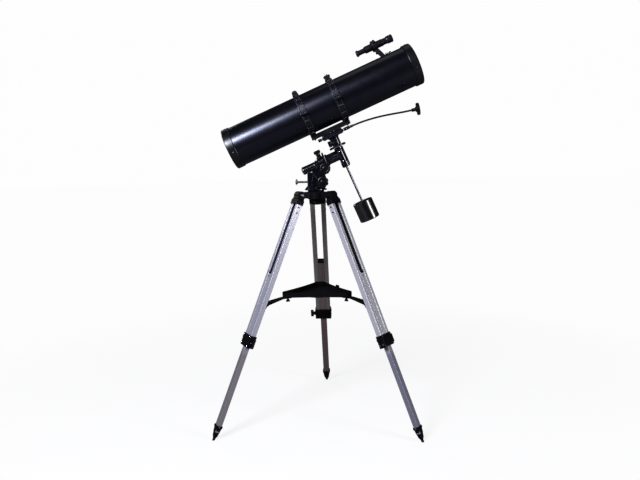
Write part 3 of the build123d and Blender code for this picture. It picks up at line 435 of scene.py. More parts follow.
def smooth_nodes():
    """CAD nodes keep their own points; only their shading is smoothed across gentle angles."""
    for node in nodes.values():
        node.data.shade_smooth()
        node.data.set_sharp_from_angle(angle=radians(32))


smooth_nodes()


# ---------------------------------------------------------------- mesh tools
def stand(origin, normal, side=None):
    """A frame whose z is the normal and whose x is as near to side as it can be."""
    up = normal.normalized()
    across = side if side is not None else up.orthogonal()
    across = (across - up * across.dot(up)).normalized()
    turned = Matrix((across, up.cross(across), up)).transposed().to_4x4()
    return Matrix.Translation(origin) @ turned


def ring_of(mesh, radius, height, count, wave=None):
    points = []
    for k in range(count):
        angle = 2 * pi * k / count
        r = radius + (wave(k, height) if wave else 0.0)
        points.append(mesh.verts.new((r * cos(angle), r * sin(angle), height)))
    return points


def lathe(mesh, profile, where, count=40, wave=None):
    """A closed turned solid from (radius, height) points that start and end on the centre line or on a bore."""
    rows = []
    for radius, height in profile:
        if radius == 0:
            rows.append([mesh.verts.new((0, 0, height))])
        else:
            rows.append(ring_of(mesh, radius, height, count, wave))
    made = [vert for row in rows for vert in row]
    bored = profile[0][0] > 0
    pairs = list(zip(rows, rows[1:])) + ([(rows[-1], rows[0])] if bored else [])
    for low, high in pairs:
        for k in range(count):
            following = (k + 1) % count
            corners = dict.fromkeys([low[k % len(low)], low[following % len(low)],
                                     high[following % len(high)], high[k % len(high)]])
            corners = list(corners)
            if len(corners) > 2:
                mesh.faces.new(corners)
    bmesh.ops.transform(mesh, matrix=where, verts=made)


def joined_to(verts):
    """All the points that edges join to these."""
    frontier = list(verts)
    linked = set(frontier)
    while frontier:
        vert = frontier.pop()
        for edge in vert.link_edges:
            other = edge.other_vert(vert)
            if other not in linked:
                linked.add(other)
                frontier.append(other)
    return list(linked)


def prism(mesh, outline, height, where, bevel=0.0):
    """A straight solid on an outline of (x, y) points."""
    low = [mesh.verts.new((x, y, 0)) for x, y in outline]
    high = [mesh.verts.new((x, y, height)) for x, y in outline]
    faces = [mesh.faces.new(low[::-1]), mesh.faces.new(high)]
    for k in range(len(outline)):
        following = (k + 1) % len(outline)
        faces.append(mesh.faces.new((low[k], low[following], high[following], high[k])))
    if bevel:
        edges = list(dict.fromkeys(edge for face in faces for edge in face.edges))
        made = bmesh.ops.bevel(mesh, geom=edges, offset=bevel, segments=2, affect="EDGES")
        verts = joined_to(vert for face in made["faces"] for vert in face.verts)
    else:
        verts = low + high
    bmesh.ops.transform(mesh, matrix=where, verts=verts)


def bar(mesh, width, depth, height, where, bevel=0.3):
    prism(mesh, rectangle(width, depth), height, where, bevel)


def cross_outline(length, width):
    a, b = length / 2, width / 2
    return [(b, a), (-b, a), (-b, b), (-a, b), (-a, -b), (-b, -b), (-b, -a), (b, -a), (b, -b), (a, -b), (a, b),
            (b, b)]


def polygon(radius, count):
    angles = [2 * pi * k / count for k in range(count)]
    return [(radius * cos(angle), radius * sin(angle)) for angle in angles]


def rectangle(length, width):
    x, y = length / 2, width / 2
    return [(-x, -y), (x, -y), (x, y), (-x, y)]


def bead(foot, shoulder, crest, width, lead=0.3):
    """The profile of a rounded bead, from the radii of its foot, shoulder and crest."""
    return [(foot, 0), (shoulder, lead), (crest, width / 2), (shoulder, width - lead), (foot, width)]


def screw(mesh, radius, height, where, drive="cross"):
    """A screw head with a real recess: cross, hex or slot."""
    recess = {"cross": cross_outline(radius * 1.25, radius * 0.3),
              "hex": polygon(radius * 0.52, 6),
              "slot": [(radius * 0.8, -0.12 * radius), (radius * 0.8, 0.12 * radius),
                       (-radius * 0.8, 0.12 * radius), (-radius * 0.8, -0.12 * radius)]}[drive]
    floor = height - height * (0.7 if drive == "hex" else 0.5)
    count = 28
    base = ring_of(mesh, radius, 0, count)
    side = ring_of(mesh, radius, height * 0.55, count)
    rim = ring_of(mesh, radius * 0.86, height * 0.95, count)
    hole = [mesh.verts.new((x, y, height)) for x, y in recess]
    pit = [mesh.verts.new((x, y, floor)) for x, y in recess]
    for low, high in ((base, side), (side, rim)):
        for k in range(count):
            following = (k + 1) % count
            mesh.faces.new((low[k], low[following], high[following], high[k]))
    mesh.faces.new(base[::-1])
    for k in range(len(hole)):
        following = (k + 1) % len(hole)
        mesh.faces.new((hole[k], pit[k], pit[following], hole[following]))
    mesh.faces.new(pit)
    top_edges = []
    for loop in (rim, hole):
        for ends in zip(loop, loop[1:] + loop[:1]):
            top_edges.append(mesh.edges.get(ends) or mesh.edges.new(ends))
    bmesh.ops.triangle_fill(mesh, use_beauty=True, use_dissolve=False, edges=top_edges)
    bmesh.ops.transform(mesh, matrix=where, verts=base + side + rim + hole + pit)


def knurled(mesh, radius, height, teeth, depth, where, bore, lead=0.6):
    """A ring with straight knurling round its rim."""
    def tooth(k, level):
        near_end = level < lead * 0.9 or level > height - lead * 0.9
        return 0.0 if near_end or k % 4 > 1 else depth

    rim = radius - lead * 0.4
    profile = [(bore, 0), (rim, 0), (radius, lead), (radius, height - lead), (rim, height), (bore, height)]
    lathe(mesh, profile, where, teeth * 4, tooth)


def piece(name, material, body, build, smooth=35):
    """Builds one named piece in millimetres and rides it on a body."""
    mesh = bmesh.new()
    build(mesh)
    bmesh.ops.recalc_face_normals(mesh, faces=mesh.faces)
    bmesh.ops.scale(mesh, vec=(MM, MM, MM), verts=mesh.verts)
    data = bpy.data.meshes.new(name)
    mesh.to_mesh(data)
    mesh.free()
    data.shade_smooth()
    data.set_sharp_from_angle(angle=radians(smooth))
    data.materials.append(material)
    made = bpy.data.objects.new(name, data)
    bpy.context.scene.collection.objects.link(made)
    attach(made, body)
    return made


# ---------------------------------------------------------------- declination control cable
CABLE_ROUTE = [                  # t, n and y of each point, as in the CAD model
    (74.3, DEC_WORM_N, DEC_WORM_Y),
    (112.0, -121.9, -24.9),
    (158.0, -126.4, -26.0),
    (205.0, -134.4, -28.2),
    (252.0, -145.6, -31.4),
    (296.0, -157.6, -35.2),
    (330.0, -165.4, -38.6),
]
CABLE_R, DEC_KNOB_LENGTH = 3.5, 32.2


def make_cable():
    data = bpy.data.curves.new("dec_control_cable", "CURVE")
    data.dimensions = "3D"
    data.resolution_u = 16
    spline = data.splines.new("NURBS")
    spline.points.add(len(CABLE_ROUTE) - 1)
    for point, at in zip(spline.points, CABLE_ROUTE):
        point.co = (*(place(*at) * MM), 1.0)
    spline.order_u = 3
    spline.use_endpoint_u = True
    data.bevel_depth = CABLE_R * MM
    data.bevel_resolution = 6
    data.use_fill_caps = True
    data.materials.append(rubber)
    cable = bpy.data.objects.new("dec_control_cable", data)
    bpy.context.scene.collection.objects.link(cable)
    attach(cable, "saddle")
    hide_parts("dec_cable")


make_cable()


# ---------------------------------------------------------------- tripod details
# Distances d run down a leg from its pivot, n out of its face and w along its pivot.
RAIL_FLANK, RAIL_FACE, RAIL_CENTRE_W = 33.0, 10.7, 23.5
HEAD_END, RIB_LENGTH = 40.0, 558.0
CLAMP_FACE, CLAMP_SIDE = 15.0, 37.0
STOP_SCREW_D, FOOT_SCREW_D, FOOT_SIDE = INNER_START + 22, 989.0, 17.1
LUG_OUTSIDE = 12 + 0.3 + 9 + 0.3 + 6          # the hub's lug, a cheek of the leg head and a washer


def leg_frame(leg, d, n, w, normal):
    return stand(leg.place(d, n, w), normal, leg.down)


def down_leg(leg, d, n=0.0, w=0.0):
    """A frame whose z runs down the leg and whose x lies along its pivot."""
    return stand(leg.place(d, n, w), leg.down, leg.round)


def make_leg_details(leg):
    def head_screws(mesh):
        for sign in (-1, 1):
            for d in (HEAD_END + 11, HEAD_END + 34):
                screw(mesh, 3.6, 1.6, leg_frame(leg, d, 0, sign * RAIL_FLANK, leg.round * sign))

    def head_bands(mesh):
        for d in (23.5, 37.5):
            prism(mesh, rectangle(70.8, 28.8), 2.0, down_leg(leg, d), 0.7)

    def rail_ribs(mesh):
        for sign in (-1, 1):
            for n in (-6.5, 6.5):
                bar(mesh, 1.2, 1.6, RIB_LENGTH, down_leg(leg, HEAD_END + 1, n, sign * (RAIL_FLANK - 0.4)), 0.35)
            for w in (-3.5, 3.5):
                bar(mesh, 1.4, 0.9, RIB_LENGTH, down_leg(leg, HEAD_END + 1, RAIL_FACE, sign * RAIL_CENTRE_W + w), 0.3)

    def clamp_screws(mesh):
        for d in (607.0, 645.0):
            for sign in (-1, 1):
                screw(mesh, 3.2, 1.4, leg_frame(leg, d, CLAMP_FACE, sign * 30.5, leg.face))
        for n in (-7.5, 7.5):
            screw(mesh, 3.0, 1.4, leg_frame(leg, 639.0, n, -CLAMP_SIDE, -leg.round))

    def end_plug(mesh):
        bar(mesh, 27.7, 21.4, 13.0, down_leg(leg, INNER_START - 0.6), 1.2)

    def stop_screw(mesh):
        screw(mesh, 3.0, 1.2, leg_frame(leg, STOP_SCREW_D, 10.0, 0, leg.face))

    def foot_screws(mesh):
        for sign in (-1, 1):
            screw(mesh, 3.0, 1.4, leg_frame(leg, FOOT_SCREW_D, 0, sign * FOOT_SIDE, leg.round * sign))

    def foot_rings(mesh):
        for d in (1036.0, 1041.0):
            lathe(mesh, bead(4.0, 5.6, 5.9, 2.4, 0.4), down_leg(leg, d), 28)

    upper, lower = f"leg_{leg.name}", f"lower_leg_{leg.name}"
    piece(f"head_screws_{leg.name}", dark_steel, upper, head_screws)
    piece(f"rail_ribs_{leg.name}", rails[leg.name], upper, rail_ribs)
    piece(f"clamp_screws_{leg.name}", chrome, upper, clamp_screws)
    piece(f"end_plug_{leg.name}", plastic, lower, end_plug)
    piece(f"stop_screw_{leg.name}", dark_steel, lower, stop_screw)
    piece(f"foot_screws_{leg.name}", chrome, lower, foot_screws)
    piece(f"foot_rings_{leg.name}", rubber, lower, foot_rings)
    piece(f"head_bands_{leg.name}", plastic, upper, head_bands)


def make_pivot_caps(mesh):
    for leg in legs:
        for sign in (-1, 1):
            screw(mesh, 6.6, 2.2, stand(leg.place(0, 0, sign * LUG_OUTSIDE), leg.round * sign), "hex")


def make_hub_details(mesh):
    """Machined steps round the azimuth drum and the fork's base."""
    for z in (949.5, 974.0):
        lathe(mesh, bead(33.0, 34.9, 35.2, 2.4), stand(HUB + UPWARD * z, UPWARD), 64)


def make_tray_details(mesh):
    """Moulded ribs from the tray's middle to its corners, a boss in the middle and a tab on the rim."""
    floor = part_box("tray")[0].z / MM + 10
    lathe(mesh, [(0, -0.5), (16, -0.5), (16, 1.6), (13, 2.2), (9, 2.2), (8.4, 1.0), (0, 1.0)],
          stand(HUB + UPWARD * floor, UPWARD), 40)
    tab, tab_facing = HUB + Vector((83.0, 15.0, floor + 14.0)), Vector((0.91, 0.41, 0))
    bar(mesh, 5.0, 26.0, 13.0, stand(tab, UPWARD, tab_facing), 1.0)
    for leg in legs:
        out = Vector((leg.face.x, leg.face.y, 0)).normalized()
        for shift in (-9, 9):
            start = HUB + out * 46 + UPWARD.cross(out) * shift + UPWARD * (floor + 0.6)
            bar(mesh, 2.2, 2.2, 78, stand(start, out, UPWARD), 0.5)


for leg in legs:
    make_leg_details(leg)
piece("pivot_caps", dark_steel, "tripod", make_pivot_caps)
piece("hub_steps", plastic, "tripod", make_hub_details)
piece("tray_ribs", plastic, "tray", make_tray_details)


# ---------------------------------------------------------------- mount details
def along_tube(t, n=0.0, y=0.0):
    return stand(place(t, n, y), AXIS, WIDE)


# Outlines of the fork, as x from the hub's centre and height above the floor
RIM_ROUTE = [(8, 1033.0), (-12, 1057.0), (-34, 1061.0), (-34, 990.3), (26, FORK_FOOT_Z)]
CHEEK_RIB = ((-18, 992.0), (-11, 1050.0))
CHEEK_MIDDLE_Z, RIM_Y = 1018.0, 23.4
FLARES = ([(-46, FORK_FOOT_Z), (-34, 1003.0), (-33, FORK_FOOT_Z)],
          [(46, FORK_FOOT_Z), (30, FORK_FOOT_Z), (34, 996.0)])
FLARE_WIDTH = 40.0


def make_fork_rims(mesh):
    """The raised rim along each cheek's free edges, and a rib up its middle."""
    middle = HUB + UPWARD * CHEEK_MIDDLE_Z
    for side in (-1, 1):
        for run in list(zip(RIM_ROUTE, RIM_ROUTE[1:])) + [CHEEK_RIB]:
            start, end = (HUB + Vector((x, side * RIM_Y, z)) for x, z in run)
            heading = (end - start).normalized()
            inward = WIDE.cross(heading) * (1.6 if run != CHEEK_RIB else 0.0)
            if inward.dot(middle - start) < 0:
                inward.negate()
            bar(mesh, 3.0, 3.4, (end - start).length, stand(start + inward, heading, WIDE.cross(heading)), 0.9)


def make_fork_flares(mesh):
    """The casting's skirt, which spreads from the cheeks to the hub before and behind."""
    where = stand(HUB - WIDE * FLARE_WIDTH / 2, WIDE, Vector((1, 0, 0)))
    for outline in FLARES:
        corners = [HUB + Vector((x, -FLARE_WIDTH / 2, z)) for x, z in outline]
        prism(mesh, [(where.inverted() @ corner).to_2d()[:] for corner in corners], FLARE_WIDTH, where, 0.8)


def make_latitude_scale(mesh):
    """Degree marks on the outsides of the fork's cheeks, in an arc above the altitude axis."""
    for k in range(-9, 10):
        angle = radians(96 + k * 5)
        out = Vector((cos(angle), 0, sin(angle)))
        length = 4.6 if k % 3 == 0 else 2.8
        for y in (-FORK_CHEEK, FORK_CHEEK):
            where = stand(LAT + out * (LAT_LUG_R - length) + WIDE * (y - 0.12), out, WIDE)
            bar(mesh, 0.5, 0.7, length, where, 0.0)


def make_ra_ticks(mesh):
    """Hour marks round the polar setting circle's rim."""
    for k in range(72):
        angle = 2 * pi * k / 72
        out = WIDE * cos(angle) + RAISED * sin(angle)
        width = 3.4 if k % 6 == 0 else (2.4 if k % 3 == 0 else 1.6)
        origin = place(RA_CIRCLE_T + 8 - width, RA_N) + out * (RA_CIRCLE_R - 0.1)
        bar(mesh, 0.3, 0.6, width - 0.2, stand(origin, AXIS, out), 0.0)


def make_dec_ticks(mesh):
    """Degree marks round the declination setting circle's rim."""
    for k in range(72):
        angle = 2 * pi * k / 72
        out = AXIS * cos(angle) + WIDE * sin(angle)
        width = 3.2 if k % 6 == 0 else (2.2 if k % 3 == 0 else 1.5)
        origin = place(0, DEC_CIRCLE_N + 0.3) + out * (DEC_CIRCLE_R - 0.1)
        bar(mesh, 0.3, 0.6, width, stand(origin, RAISED, out), 0.0)


def make_housing_beads(mesh):
    """Cast beads at the polar housing's ends."""
    for t in (-172, -121):
        lathe(mesh, bead(14.5, 16.8, 17.3, 4.0, 0.4), along_tube(t, RA_N), 56)


def make_barrel_beads(mesh):
    """Cast beads round the declination barrel."""
    for n in (-238, -196):
        lathe(mesh, bead(13.5, 15.6, 16.0, 3.0), stand(place(0, n), RAISED, WIDE), 56)


def make_barrel_ribs(mesh):
    """The thin cast ribs that run up the declination barrel on its near and far sides."""
    for degrees in (-60, -20, 160, 200):
        angle = radians(degrees)
        out = AXIS * cos(angle) - WIDE * sin(angle)
        bar(mesh, 2.4, 3.2, 50, stand(place(0, -247) + out * 14.6, RAISED, out), 0.7)


def make_polar_cap(mesh):
    """The polar housing's stepped lower end cap."""
    lathe(mesh, [(0, -2.4), (8, -2.4), (9.5, -1.6), (12.5, -1.4), (13.4, -0.4), (13.4, 0.6), (0, 0.6)],
          along_tube(-174, RA_N), 48)


def make_worm_block_screws(mesh):
    for t in (-30, 30):
        screw(mesh, 2.6, 1.2, stand(place(t, DEC_WORM_N, DEC_WORM_Y - 9.8), -WIDE, AXIS), "hex")


def make_fork_screws(mesh):
    for z in (1000.0, 1028.0):
        for side in (-1, 1):
            screw(mesh, 3.4, 1.8, stand(HUB + Vector((-27, side * FORK_CHEEK, z)), WIDE * side), "hex")


def make_saddle_bolts(mesh):
    """The bolt heads under the saddle bar, one for each tube ring."""
    for t in RING_TS.values():
        where = stand(place(t, SADDLE_N + 0.2), -RAISED, AXIS)
        prism(mesh, polygon(3.4, 6), 4.5, where, 0.5)
        lathe(mesh, [(0, -0.2), (4.6, -0.2), (4.6, 1.0), (0, 1.0)], where, 32)


def make_worm_sleeve_screw(mesh):
    screw(mesh, 2.0, 0.9, stand(place(62, DEC_WORM_N, DEC_WORM_Y - 6.4), -WIDE, AXIS), "slot")


def add_grip_ridges(mesh, radius, height, count, where):
    """Fine ridges that radiate across a hand knob's face."""
    for k in range(count):
        angle = 2 * pi * k / count
        out = Vector((cos(angle), sin(angle), 0))
        bar(mesh, radius * 0.7, 1.1, height, where @ stand(out * radius * 0.45, UPWARD, out), 0.25)


def make_latitude_knob_face(mesh):
    """The moulded face of the latitude knob: a dished ring, ridges and a hub."""
    where = stand(LAT - WIDE * (FORK_CHEEK + 20.6), -WIDE, UPWARD)
    lathe(mesh, [(13.5, 0), (19.5, 0), (19.5, 1.6), (18.3, 2.2), (14.5, 2.2), (13.5, 1.4)], where, 48)
    add_grip_ridges(mesh, 24.0, 1.6, 8, where)
    lathe(mesh, [(0, 3.2), (7.5, 3.2), (7.5, 4.4), (6.0, 5.2), (0, 5.4)], where, 36)


def make_ra_knob_face(mesh):
    where = stand(place(RA_WORM_T, RA_N - WORM_OFFSET, RA_KNOB_Y), -WIDE, AXIS)
    lathe(mesh, [(14.0, -0.2), (18.5, -0.2), (18.5, 0.8), (17.6, 1.4), (14.9, 1.4), (14.0, 0.8)], where, 48)
    lathe(mesh, [(0, -0.2), (7.5, -0.2), (7.5, 1.0), (5.5, 1.8), (0, 2.0)], where, 36)


def make_dec_knob_face(mesh):
    """The knob's face, and the beads on its neck where the cable goes in."""
    last = place(*CABLE_ROUTE[-1])
    heading = (last - place(*CABLE_ROUTE[-2])).normalized()
    where = stand(last + heading * DEC_KNOB_LENGTH, heading, WIDE)
    lathe(mesh, [(14.0, -0.2), (18.5, -0.2), (18.5, 0.7), (17.6, 1.2), (14.9, 1.2), (14.0, 0.7)], where, 48)
    lathe(mesh, [(0, -0.2), (6.5, -0.2), (6.5, 0.8), (5.0, 1.4), (0, 1.5)], where, 36)
    for back in (0.6, 4.6, 8.6):
        lathe(mesh, bead(5.5, 6.9, 7.1, 2.4), stand(last + heading * back, heading, WIDE), 32)


def make_cable_ferrule(mesh):
    """The crimped ferrule where the cable enters the worm's sleeve."""
    first = place(*CABLE_ROUTE[0])
    heading = (place(*CABLE_ROUTE[1]) - first).normalized()
    profile = [(3.6, 0.5), (4.9, 0.5), (5.1, 1.2), (5.1, 5.0), (4.6, 5.6), (5.1, 6.2), (5.1, 10.0), (4.6, 10.6),
               (5.0, 11.2), (5.0, 15.4), (4.2, 16.6), (3.6, 16.8)]
    lathe(mesh, profile, stand(first - heading * 0.2, heading, WIDE), 32)


def make_weight_lands(mesh):
    """Raised lands at the counterweight's ends, and a bead round its bore."""
    for n in (CW_BOTTOM_N + 4.5, CW_TOP_N - 8.5):
        lathe(mesh, bead(CW_R - 1, CW_R + 0.3, CW_R + 0.4, 4.0), stand(place(0, n), RAISED, WIDE), 96)
    lathe(mesh, [(6.2, -0.3), (11, -0.3), (11, 1.0), (9.6, 1.8), (7.2, 1.8), (6.2, 1.2)],
          stand(place(0, CW_TOP_N), RAISED, WIDE), 40)


piece("fork_rims", mount_paint, "mount_base", make_fork_rims)
piece("fork_flares", mount_paint, "mount_base", make_fork_flares)
piece("latitude_scale", scale_paint, "mount_base", make_latitude_scale)
piece("ra_scale", scale_paint, "ra_circle", make_ra_ticks)
piece("dec_scale", scale_paint, "dec_circle", make_dec_ticks)
piece("polar_housing_beads", mount_paint, "polar_housing", make_housing_beads)
piece("polar_end_cap", knob_plastic, "polar_housing", make_polar_cap)
piece("barrel_beads", mount_paint, "ra_axis", make_barrel_beads)
piece("barrel_ribs", mount_paint, "ra_axis", make_barrel_ribs)
piece("worm_block_screws", chrome, "saddle", make_worm_block_screws)
piece("fork_screws", dark_steel, "mount_base", make_fork_screws)
piece("saddle_bolts", chrome, "saddle", make_saddle_bolts)
piece("worm_sleeve_screw", chrome, "dec_worm", make_worm_sleeve_screw)
piece("latitude_knob_face", knob_plastic, "latitude_lock", make_latitude_knob_face)
piece("ra_knob_face", knob_plastic, "ra_worm", make_ra_knob_face)
piece("dec_knob_face", knob_plastic, "dec_knob", make_dec_knob_face)
piece("cable_ferrule", dark_steel, "saddle", make_cable_ferrule)
piece("weight_lands", weight_paint, "counterweight", make_weight_lands)


# ---------------------------------------------------------------- ring details
def ring_out(degrees):
    """A direction square to the tube: angles run from its top towards the camera's side."""
    return RAISED * cos(radians(degrees)) - WIDE * sin(radians(degrees))


def on_ring(t, degrees, radius):
    """A frame that stands on a ring's rim and faces outwards."""
    out = ring_out(degrees)
    return stand(place(t) + out * radius, out, AXIS)


RING_CHANNEL_R, HINGE_Y, STUD_FOOT_N = 88.6, -97.5, 107.0
RING_RIBS = {"strap": (26, 48, 70, -26, -48, -70), "cradle": (110, 132, 154, -110, -132, -154)}


def make_ring_ribs(mesh, t, angles):
    """Short ribs across the ring's channel, which leave the long windows between them."""
    for degrees in angles:
        bar(mesh, 17.0, 4.5, 3.2, on_ring(t, degrees, RING_CHANNEL_R), 0.6)


def make_stud_thread(mesh):
    turns, pitch = 5, 1.27
    profile = [(2.6, 0)]
    for k in range(turns):
        profile += [(3.2, k * pitch + 0.15), (3.42, k * pitch + 0.6), (3.2, k * pitch + 1.05)]
    profile.append((2.6, turns * pitch + 0.1))
    lathe(mesh, profile, stand(place(RING_TS["front"], STUD_FOOT_N + 0.2), RAISED, WIDE), 28)


def make_stud_disc(mesh):
    """The thin disc that lies round the camera stud's foot."""
    profile = [(3.4, -0.3), (9.5, -0.3), (9.5, 0.5), (8.2, 1.1), (4.2, 1.1), (3.4, 0.5)]
    lathe(mesh, profile, stand(place(RING_TS["front"], STUD_FOOT_N), RAISED, WIDE), 32)


def make_hinge_pins(mesh):
    for t in RING_TS.values():
        for sign in (-1, 1):
            where = stand(place(t + sign * 12.4, 0, HINGE_Y), AXIS * sign, WIDE)
            lathe(mesh, [(0, 0), (3.2, 0), (3.2, 0.6), (2.2, 1.3), (0, 1.5)], where, 24)


for name, t in RING_TS.items():
    piece(f"ring_ribs_{name}", ring_paint, f"ring_strap_{name}",
          lambda mesh, t=t: make_ring_ribs(mesh, t, RING_RIBS["strap"]))
    piece(f"cradle_ribs_{name}", ring_paint, "saddle",
          lambda mesh, t=t: make_ring_ribs(mesh, t, RING_RIBS["cradle"]))
piece("stud_thread", turned_steel, "ring_strap_front", make_stud_thread)
piece("camera_boss_knurl", trim_paint, "ring_strap_front", make_stud_disc)
piece("ring_hinge_pins", chrome, "saddle", make_hinge_pins)


# ---------------------------------------------------------------- tube details
def make_end_screws(mesh):
    for t, radius in ((410.0, 85.9), (-394.0, 84.9)):
        for k in range(4):
            screw(mesh, 3.4, 1.5, on_ring(t, 104 + 90 * k, radius))


def make_ring_seams(mesh):
    """The rolled beads where the end rings meet the tube."""
    for t in (FRONT_RING_T, REAR_CELL_T):
        lathe(mesh, bead(TUBE_R - 1, TUBE_R + 0.9, TUBE_R + 1.2, 2.4), along_tube(t - 1.2), 128)


def make_cell_screws(mesh):
    """Three pairs of collimation screws on the back of the mirror cell."""
    for k in range(3):
        seat = place(TUBE_T0 + 1.4) + spoke(120 * k) * 50
        screw(mesh, 4.4, 1.3, stand(seat, -AXIS, WIDE))
        seat = place(TUBE_T0 + 5.2) + spoke(120 * k + 24) * 50
        screw(mesh, 3.2, 2.4, stand(seat, -AXIS, WIDE), "hex")


def make_cell_ribs(mesh):
    """Cast ribs across the back of the mirror cell."""
    for k in range(6):
        out = spoke(60 * k + 42)
        bar(mesh, 3.0, 2.4, 38, stand(place(TUBE_T0 + 4.4) + out * 18, out, AXIS), 0.6)
    lathe(mesh, [(13.0, -0.5), (17.5, -0.5), (17.5, 1.6), (16.6, 2.3), (14.0, 2.3), (13.0, 1.6)],
          stand(place(TUBE_T0 + 5), -AXIS, WIDE), 40)


def make_spider_screws(mesh):
    """The vanes' screws through the tube's wall, and the three on the secondary's holder."""
    for k in range(4):
        out = spoke(45 + 90 * k)
        screw(mesh, 3.0, 1.6, stand(place(FOCUS_T + 45) + out * (TUBE_R - 0.1), out, AXIS))
    for k in range(3):
        screw(mesh, 2.4, 1.6, stand(place(FOCUS_T + 55.9) + spoke(90 + 120 * k) * 8.2, AXIS, WIDE))


def make_focuser_screws(mesh):
    """Screws on the focuser's flange and on its bearing block."""
    for t in (-34, 34):
        for n in (-30, 30):
            screw(mesh, 3.2, 1.6, stand(place(FOCUS_T + t, n, 87.9), WIDE, AXIS))
    for t in (-11, 11):
        screw(mesh, 2.4, 1.2, stand(place(FOCUS_T + t, -24, 119.9), WIDE, AXIS))


def make_focuser_beads(mesh):
    for y in (95.0, 122.0):
        lathe(mesh, bead(25.5, 27.7, 28.0, 2.4), stand(place(FOCUS_T, 0, y), WIDE, AXIS), 64)


def make_focus_grips(mesh):
    for t in (FOCUS_T - 46, FOCUS_T + 32):
        knurled(mesh, 17.0, 10.0, 40, 0.6, stand(place(t + 2, -26, 107), AXIS, WIDE), 15.0)


def make_collar_knurl(mesh):
    knurled(mesh, 24.0, 13.0, 56, 0.5, stand(place(FOCUS_T, 0, 141.5), WIDE, AXIS), 22.5)


def make_thumb_knurls(mesh):
    for degrees in (20, 140):
        out = AXIS * cos(radians(degrees)) + WIDE.cross(AXIS) * sin(radians(degrees))
        where = stand(place(FOCUS_T, 0, 148) + out * 29.93, out, WIDE)
        knurled(mesh, 5.0, 7.0, 18, 0.4, where, 3.5)


piece("end_ring_screws", chrome, "tube", make_end_screws)
piece("end_ring_beads", trim_paint, "tube", make_ring_seams)
piece("cell_screws", chrome, "tube", make_cell_screws)
piece("cell_ribs", trim_paint, "tube", make_cell_ribs)
piece("spider_screws", dark_steel, "tube", make_spider_screws)
piece("focuser_screws", chrome, "tube", make_focuser_screws)
piece("focuser_beads", trim_paint, "tube", make_focuser_beads)
piece("focus_knob_grips", knob_plastic, "focuser_pinion", make_focus_grips)
piece("drawtube_collar_knurl", trim_paint, "focuser_draw", make_collar_knurl)
piece("drawtube_thumb_knurls", chrome, "focuser_draw", make_thumb_knurls)


# ---------------------------------------------------------------- finder details
def finder_at(t, normal):
    return stand(place(t, FINDER_N, FINDER_Y), normal, WIDE)


def dome(radius, rise):
    """The profile of a lens that bulges above a short rim."""
    base, steps = -1.0, 6
    profile = [(0, base), (radius, base)]
    for k in range(steps):
        angle = (pi / 2) * k / steps
        profile.append((radius * cos(angle), rise * sin(angle)))
    return profile + [(0, rise)]


def make_finder_lenses(mesh):
    lathe(mesh, dome(12.6, 2.2), finder_at(385.0, AXIS), 48)
    lathe(mesh, dome(8.2, 1.1), finder_at(228.6, -AXIS), 40)


def make_finder_beads(mesh):
    """The knurled eyepiece collar, the body's bead and the rim of the objective cell."""
    knurled(mesh, 12.5, 6.0, 30, 0.4, finder_at(230.4, AXIS), 11.0)
    for t, radius in ((343.0, 14.4), (374.0, 15.5), (383.0, 15.5)):
        lathe(mesh, bead(radius - 1, radius + 0.5, radius + 0.6, 2.0, 0.2), finder_at(t, AXIS), 48)


def make_finder_thumbs(mesh):
    """Nuts on the bracket's two studs, and the heads of the finder's three aiming screws."""
    radial = (RAISED * FINDER_N + WIDE * FINDER_Y).normalized()
    for t in (340, 354):
        where = stand(CENTRE + AXIS * t + radial * 88.2, radial, AXIS)
        knurled(mesh, 5.5, 7.6, 20, 0.5, where, 4.0)
    for degrees in (30, 150, 270):
        out = spoke(degrees)
        where = stand(place(308, FINDER_N, FINDER_Y) + out * 28.2, out, AXIS)
        knurled(mesh, 4.5, 6.8, 16, 0.4, where, 3.0)


piece("finder_lenses", lens_glass, "tube", make_finder_lenses, 60)
piece("finder_collars", trim_paint, "tube", make_finder_beads)
piece("finder_thumb_knurls", chrome, "tube", make_finder_thumbs)


# ---------------------------------------------------------------- floor and light
FLOOR_R, FLOOR_DROP = 40.0, 0.0005         # metres


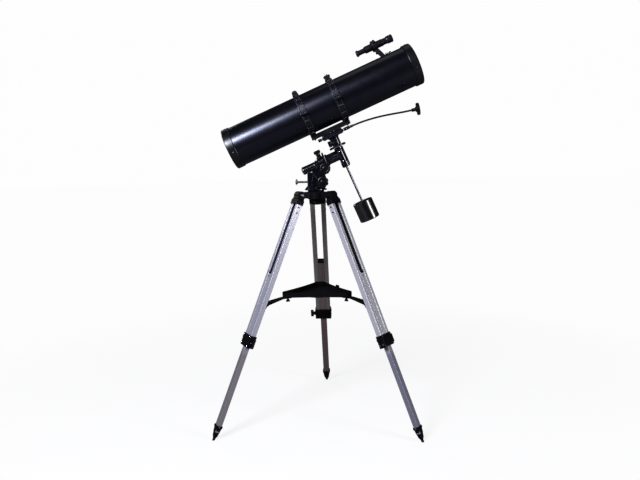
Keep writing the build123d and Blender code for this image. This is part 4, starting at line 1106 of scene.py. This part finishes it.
def make_floor():
    """A pale floor that fades to plain white away from the tripod, and reflects as a dim grey."""
    mesh = bmesh.new()
    bmesh.ops.create_circle(mesh, cap_ends=True, radius=FLOOR_R, segments=96)
    data = bpy.data.meshes.new("floor")
    mesh.to_mesh(data)
    mesh.free()
    floor = bpy.data.objects.new("floor", data)
    bpy.context.scene.collection.objects.link(floor)
    floor.location.z = -FLOOR_DROP
    paper = Nodes("floor_paper").base(0.0, 0.1)
    paper.colour(rgb(0.9, 0.9, 0.9), rgb(0.87, 0.87, 0.87), paper.spread(paper.noise(3.0), 0.0, 1.0))
    paper.rough(0.85, 0.95, 8.0)
    glow = paper.add("ShaderNodeEmission")
    glow.inputs["Color"].default_value = rgb(0.98, 0.98, 0.98)
    distance = paper.add("ShaderNodeVectorMath", operation="LENGTH")
    paper.join(paper.place, distance.inputs[0])
    fade = paper.spread(distance.outputs["Value"], low=0.88, high=1.0, start=0.4, end=2.2)
    faded = paper.add("ShaderNodeMixShader")
    paper.join(fade, faded.inputs[0])
    paper.join(paper.shader.outputs[0], faded.inputs[1])
    paper.join(glow.outputs[0], faded.inputs[2])
    dim = paper.add("ShaderNodeBsdfDiffuse")
    dim.inputs["Color"].default_value = rgb(0.22, 0.22, 0.23)
    seen = paper.add("ShaderNodeMixShader")
    paper.join(paper.add("ShaderNodeLightPath").outputs["Is Camera Ray"], seen.inputs[0])
    paper.join(dim.outputs[0], seen.inputs[1])
    paper.join(faded.outputs[0], seen.inputs[2])
    paper.join(seen.outputs[0], paper.tree.nodes["Material Output"].inputs["Surface"])
    data.materials.append(paper.material)


def make_world():
    """White behind everything, and a dimmer grey for what the surfaces reflect."""
    world = bpy.data.worlds.new("studio")
    world.use_nodes = True
    bpy.context.scene.world = world
    tree = world.node_tree
    seen, around = tree.nodes["Background"], tree.nodes.new("ShaderNodeBackground")
    seen.inputs["Color"].default_value = rgb(0.99, 0.99, 0.99)
    around.inputs["Color"].default_value = rgb(0.93, 0.93, 1.0)
    around.inputs["Strength"].default_value = 0.045
    path = tree.nodes.new("ShaderNodeLightPath")
    mixed = tree.nodes.new("ShaderNodeMixShader")
    tree.links.new(path.outputs["Is Camera Ray"], mixed.inputs[0])
    tree.links.new(around.outputs[0], mixed.inputs[1])
    tree.links.new(seen.outputs[0], mixed.inputs[2])
    tree.links.new(mixed.outputs[0], tree.nodes["World Output"].inputs["Surface"])


def area_light(name, at, aim, width, height, watts, colour):
    data = bpy.data.lights.new(name, "AREA")
    data.shape = "RECTANGLE"
    data.size, data.size_y = width, height
    data.energy = watts
    data.color = colour
    light = bpy.data.objects.new(name, data)
    bpy.context.scene.collection.objects.link(light)
    light.location = at
    light.rotation_euler = (Vector(aim) - Vector(at)).to_track_quat("-Z", "Y").to_euler()


make_floor()
make_world()
bpy.context.scene.view_settings.view_transform = "Standard"
bpy.context.scene.view_settings.gamma = 0.8     # deepens the blacks

LIGHTS = (                       # place, aim, width and height in metres, watts, colour
    ("key", (-1.7, -2.85, 2.65), (0.0, -0.1, 1.1), 1.0, 1.2, 230, (0.86, 0.87, 1.0)),
    ("fill", (2.6, -1.9, 1.5), (0.0, -0.1, 0.8), 0.8, 1.5, 70, (0.98, 0.98, 1.0)),
    ("top", (0.2, 0.6, 3.6), (0.0, -0.1, 0.9), 2.0, 1.2, 5, (1.0, 1.0, 1.0)),
    ("rim", (-1.8, 2.2, 2.0), (0.0, -0.1, 1.0), 1.0, 1.6, 20, (0.95, 0.95, 1.0)),
)
for light in LIGHTS:
    area_light(*light)
